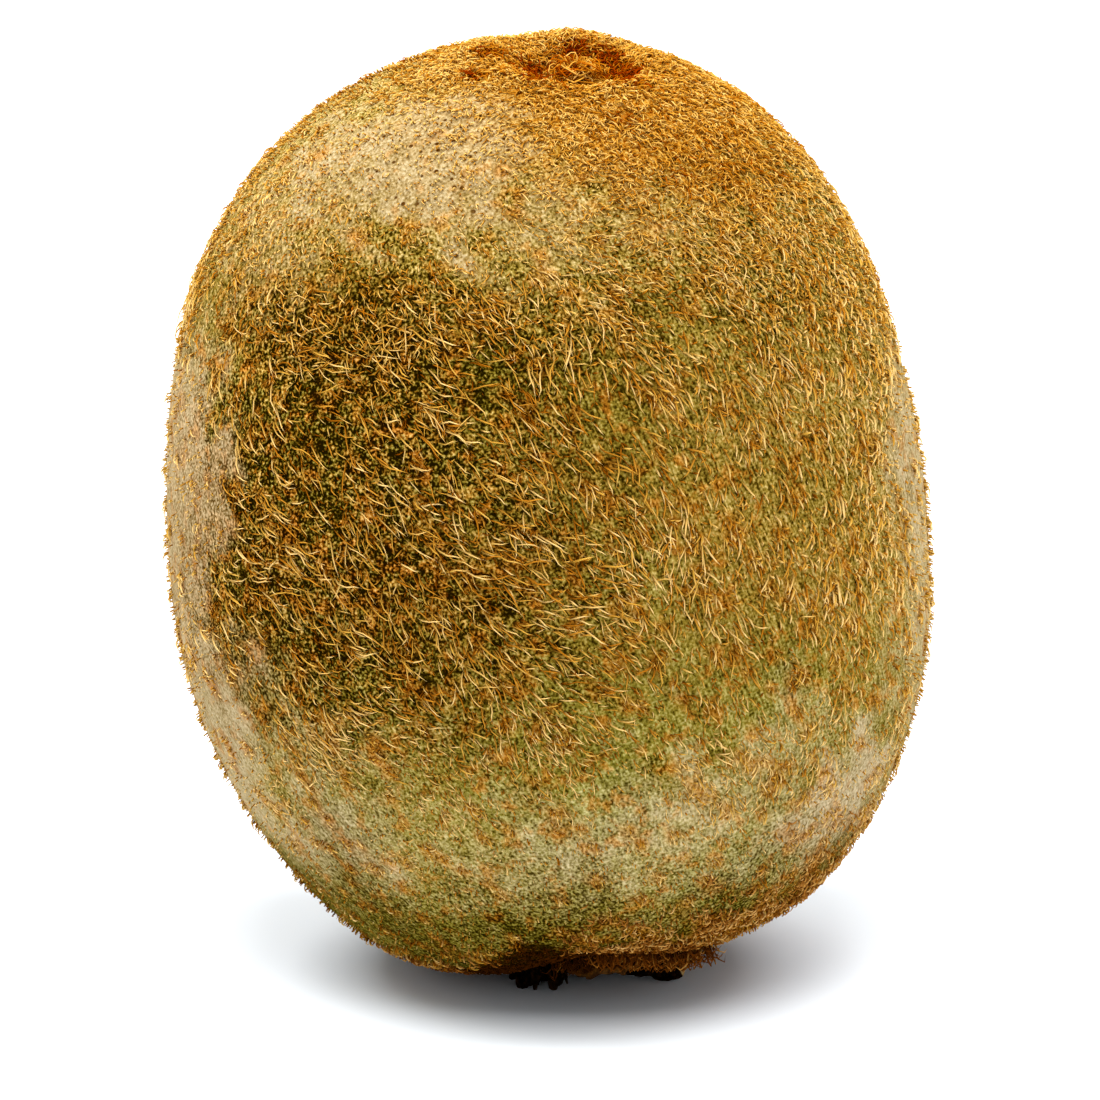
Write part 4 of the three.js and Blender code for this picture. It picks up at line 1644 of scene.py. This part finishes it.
@dataclass(frozen=True)
class Softbox:
    """A rectangular lamp that looks at the fruit. Lengths are metres, and power is watts."""

    name: str
    place: Place
    size: Span
    power: float
    tint: Colour = (1.0, 1.0, 1.0)

    def build(self, target: Vector) -> None:
        """Hangs the lamp."""
        lamp = bpy.data.lights.new(self.name, "AREA")
        lamp.shape = "RECTANGLE"
        lamp.size, lamp.size_y = self.size
        lamp.energy = self.power
        lamp.color = self.tint
        holder = bpy.data.objects.new(self.name, lamp)
        holder.location = self.place
        holder.rotation_euler = (target - holder.location).to_track_quat("-Z", "Y").to_euler()
        bpy.context.scene.collection.objects.link(holder)


@dataclass
class Studio:
    """A white table under soft light, and the camera."""

    aim: Place = (-3.30, -0.70, 29.88)
    elevation: float = 15.0
    distance: float = 650.0
    pixels_per_mm: float = 14.55
    frame_pixels: int = 1100
    sensor: float = 36.0
    floor_side: float = 6.0
    floor_colour: Colour = (0.76, 0.80, 0.84)
    world_light: float = 0.72
    softboxes: tuple[Softbox, ...] = (
        Softbox("left_box", (-0.60, 0.05, 0.98), (0.5, 0.5), 10.3),
        Softbox("right_box", (0.52, 0.05, 1.02), (0.7, 0.7), 10.3),
        Softbox("front_box", (0.0, -0.50, 1.03), (0.6, 0.6), 9.3),
    )

    def build_camera(self) -> None:
        """Places the camera."""
        lens = bpy.data.cameras.new("camera")
        lens.sensor_width = self.sensor
        focal_pixels = self.pixels_per_mm * self.distance
        lens.lens = focal_pixels * self.sensor / self.frame_pixels
        lens.clip_end = 20.0
        camera = bpy.data.objects.new("camera", lens)
        tilt = math.radians(self.elevation)
        forward = Vector((0.0, math.cos(tilt), -math.sin(tilt)))
        camera.location = (Vector(self.aim) - forward * self.distance) * MM
        camera.rotation_euler = forward.to_track_quat("-Z", "Y").to_euler()
        bpy.context.scene.collection.objects.link(camera)
        bpy.context.scene.camera = camera

    def build_floor(self) -> None:
        """Lays the table."""
        deselect()
        bpy.ops.mesh.primitive_plane_add(size=self.floor_side)
        floor = active("table")
        shader = Shader("table_white")
        sockets = {"Base Color": self.floor_colour, "Roughness": 0.9, "Specular IOR Level": 0.1}
        floor.data.materials.append(shader.finish(sockets))

    def build(self) -> None:
        """Sets up the table, the lights and the camera."""
        self.build_camera()
        self.build_floor()
        target = Vector(self.aim) * MM
        for softbox in self.softboxes:
            softbox.build(target)
        world = bpy.data.worlds.new("studio")
        bpy.context.scene.world = world
        world.use_nodes = True
        sky = world.node_tree.nodes["Background"].inputs
        sky["Color"].default_value = (1.0, 1.0, 1.0, 1.0)
        sky["Strength"].default_value = self.world_light
        bpy.context.scene.view_settings.view_transform = "Standard"


def corners(bounds: object) -> list[list[float]]:
    """Returns a box's lowest and highest corner as plain lists."""
    return [[float(x) for x in corner] for corner in bounds]


def main() -> None:
    """Builds the fruit and its studio."""
    logging.basicConfig(level=logging.INFO, format="%(name)s %(message)s")
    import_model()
    Studio().build()
    form = BerryForm()
    skin_map = SkinMap(form)
    hair = HairCoats()
    tufts = hair.tufts(form, skin_map)
    skin = Berry(form, skin_map).build(tufts)
    hair.grow(CoatGrower(form, skin_map, skin), tufts)
    Calyx(form).build(HuskFinish())
    Styles(form).build(STYLE_BROWN.material())


if __name__ == "__main__":
    main()
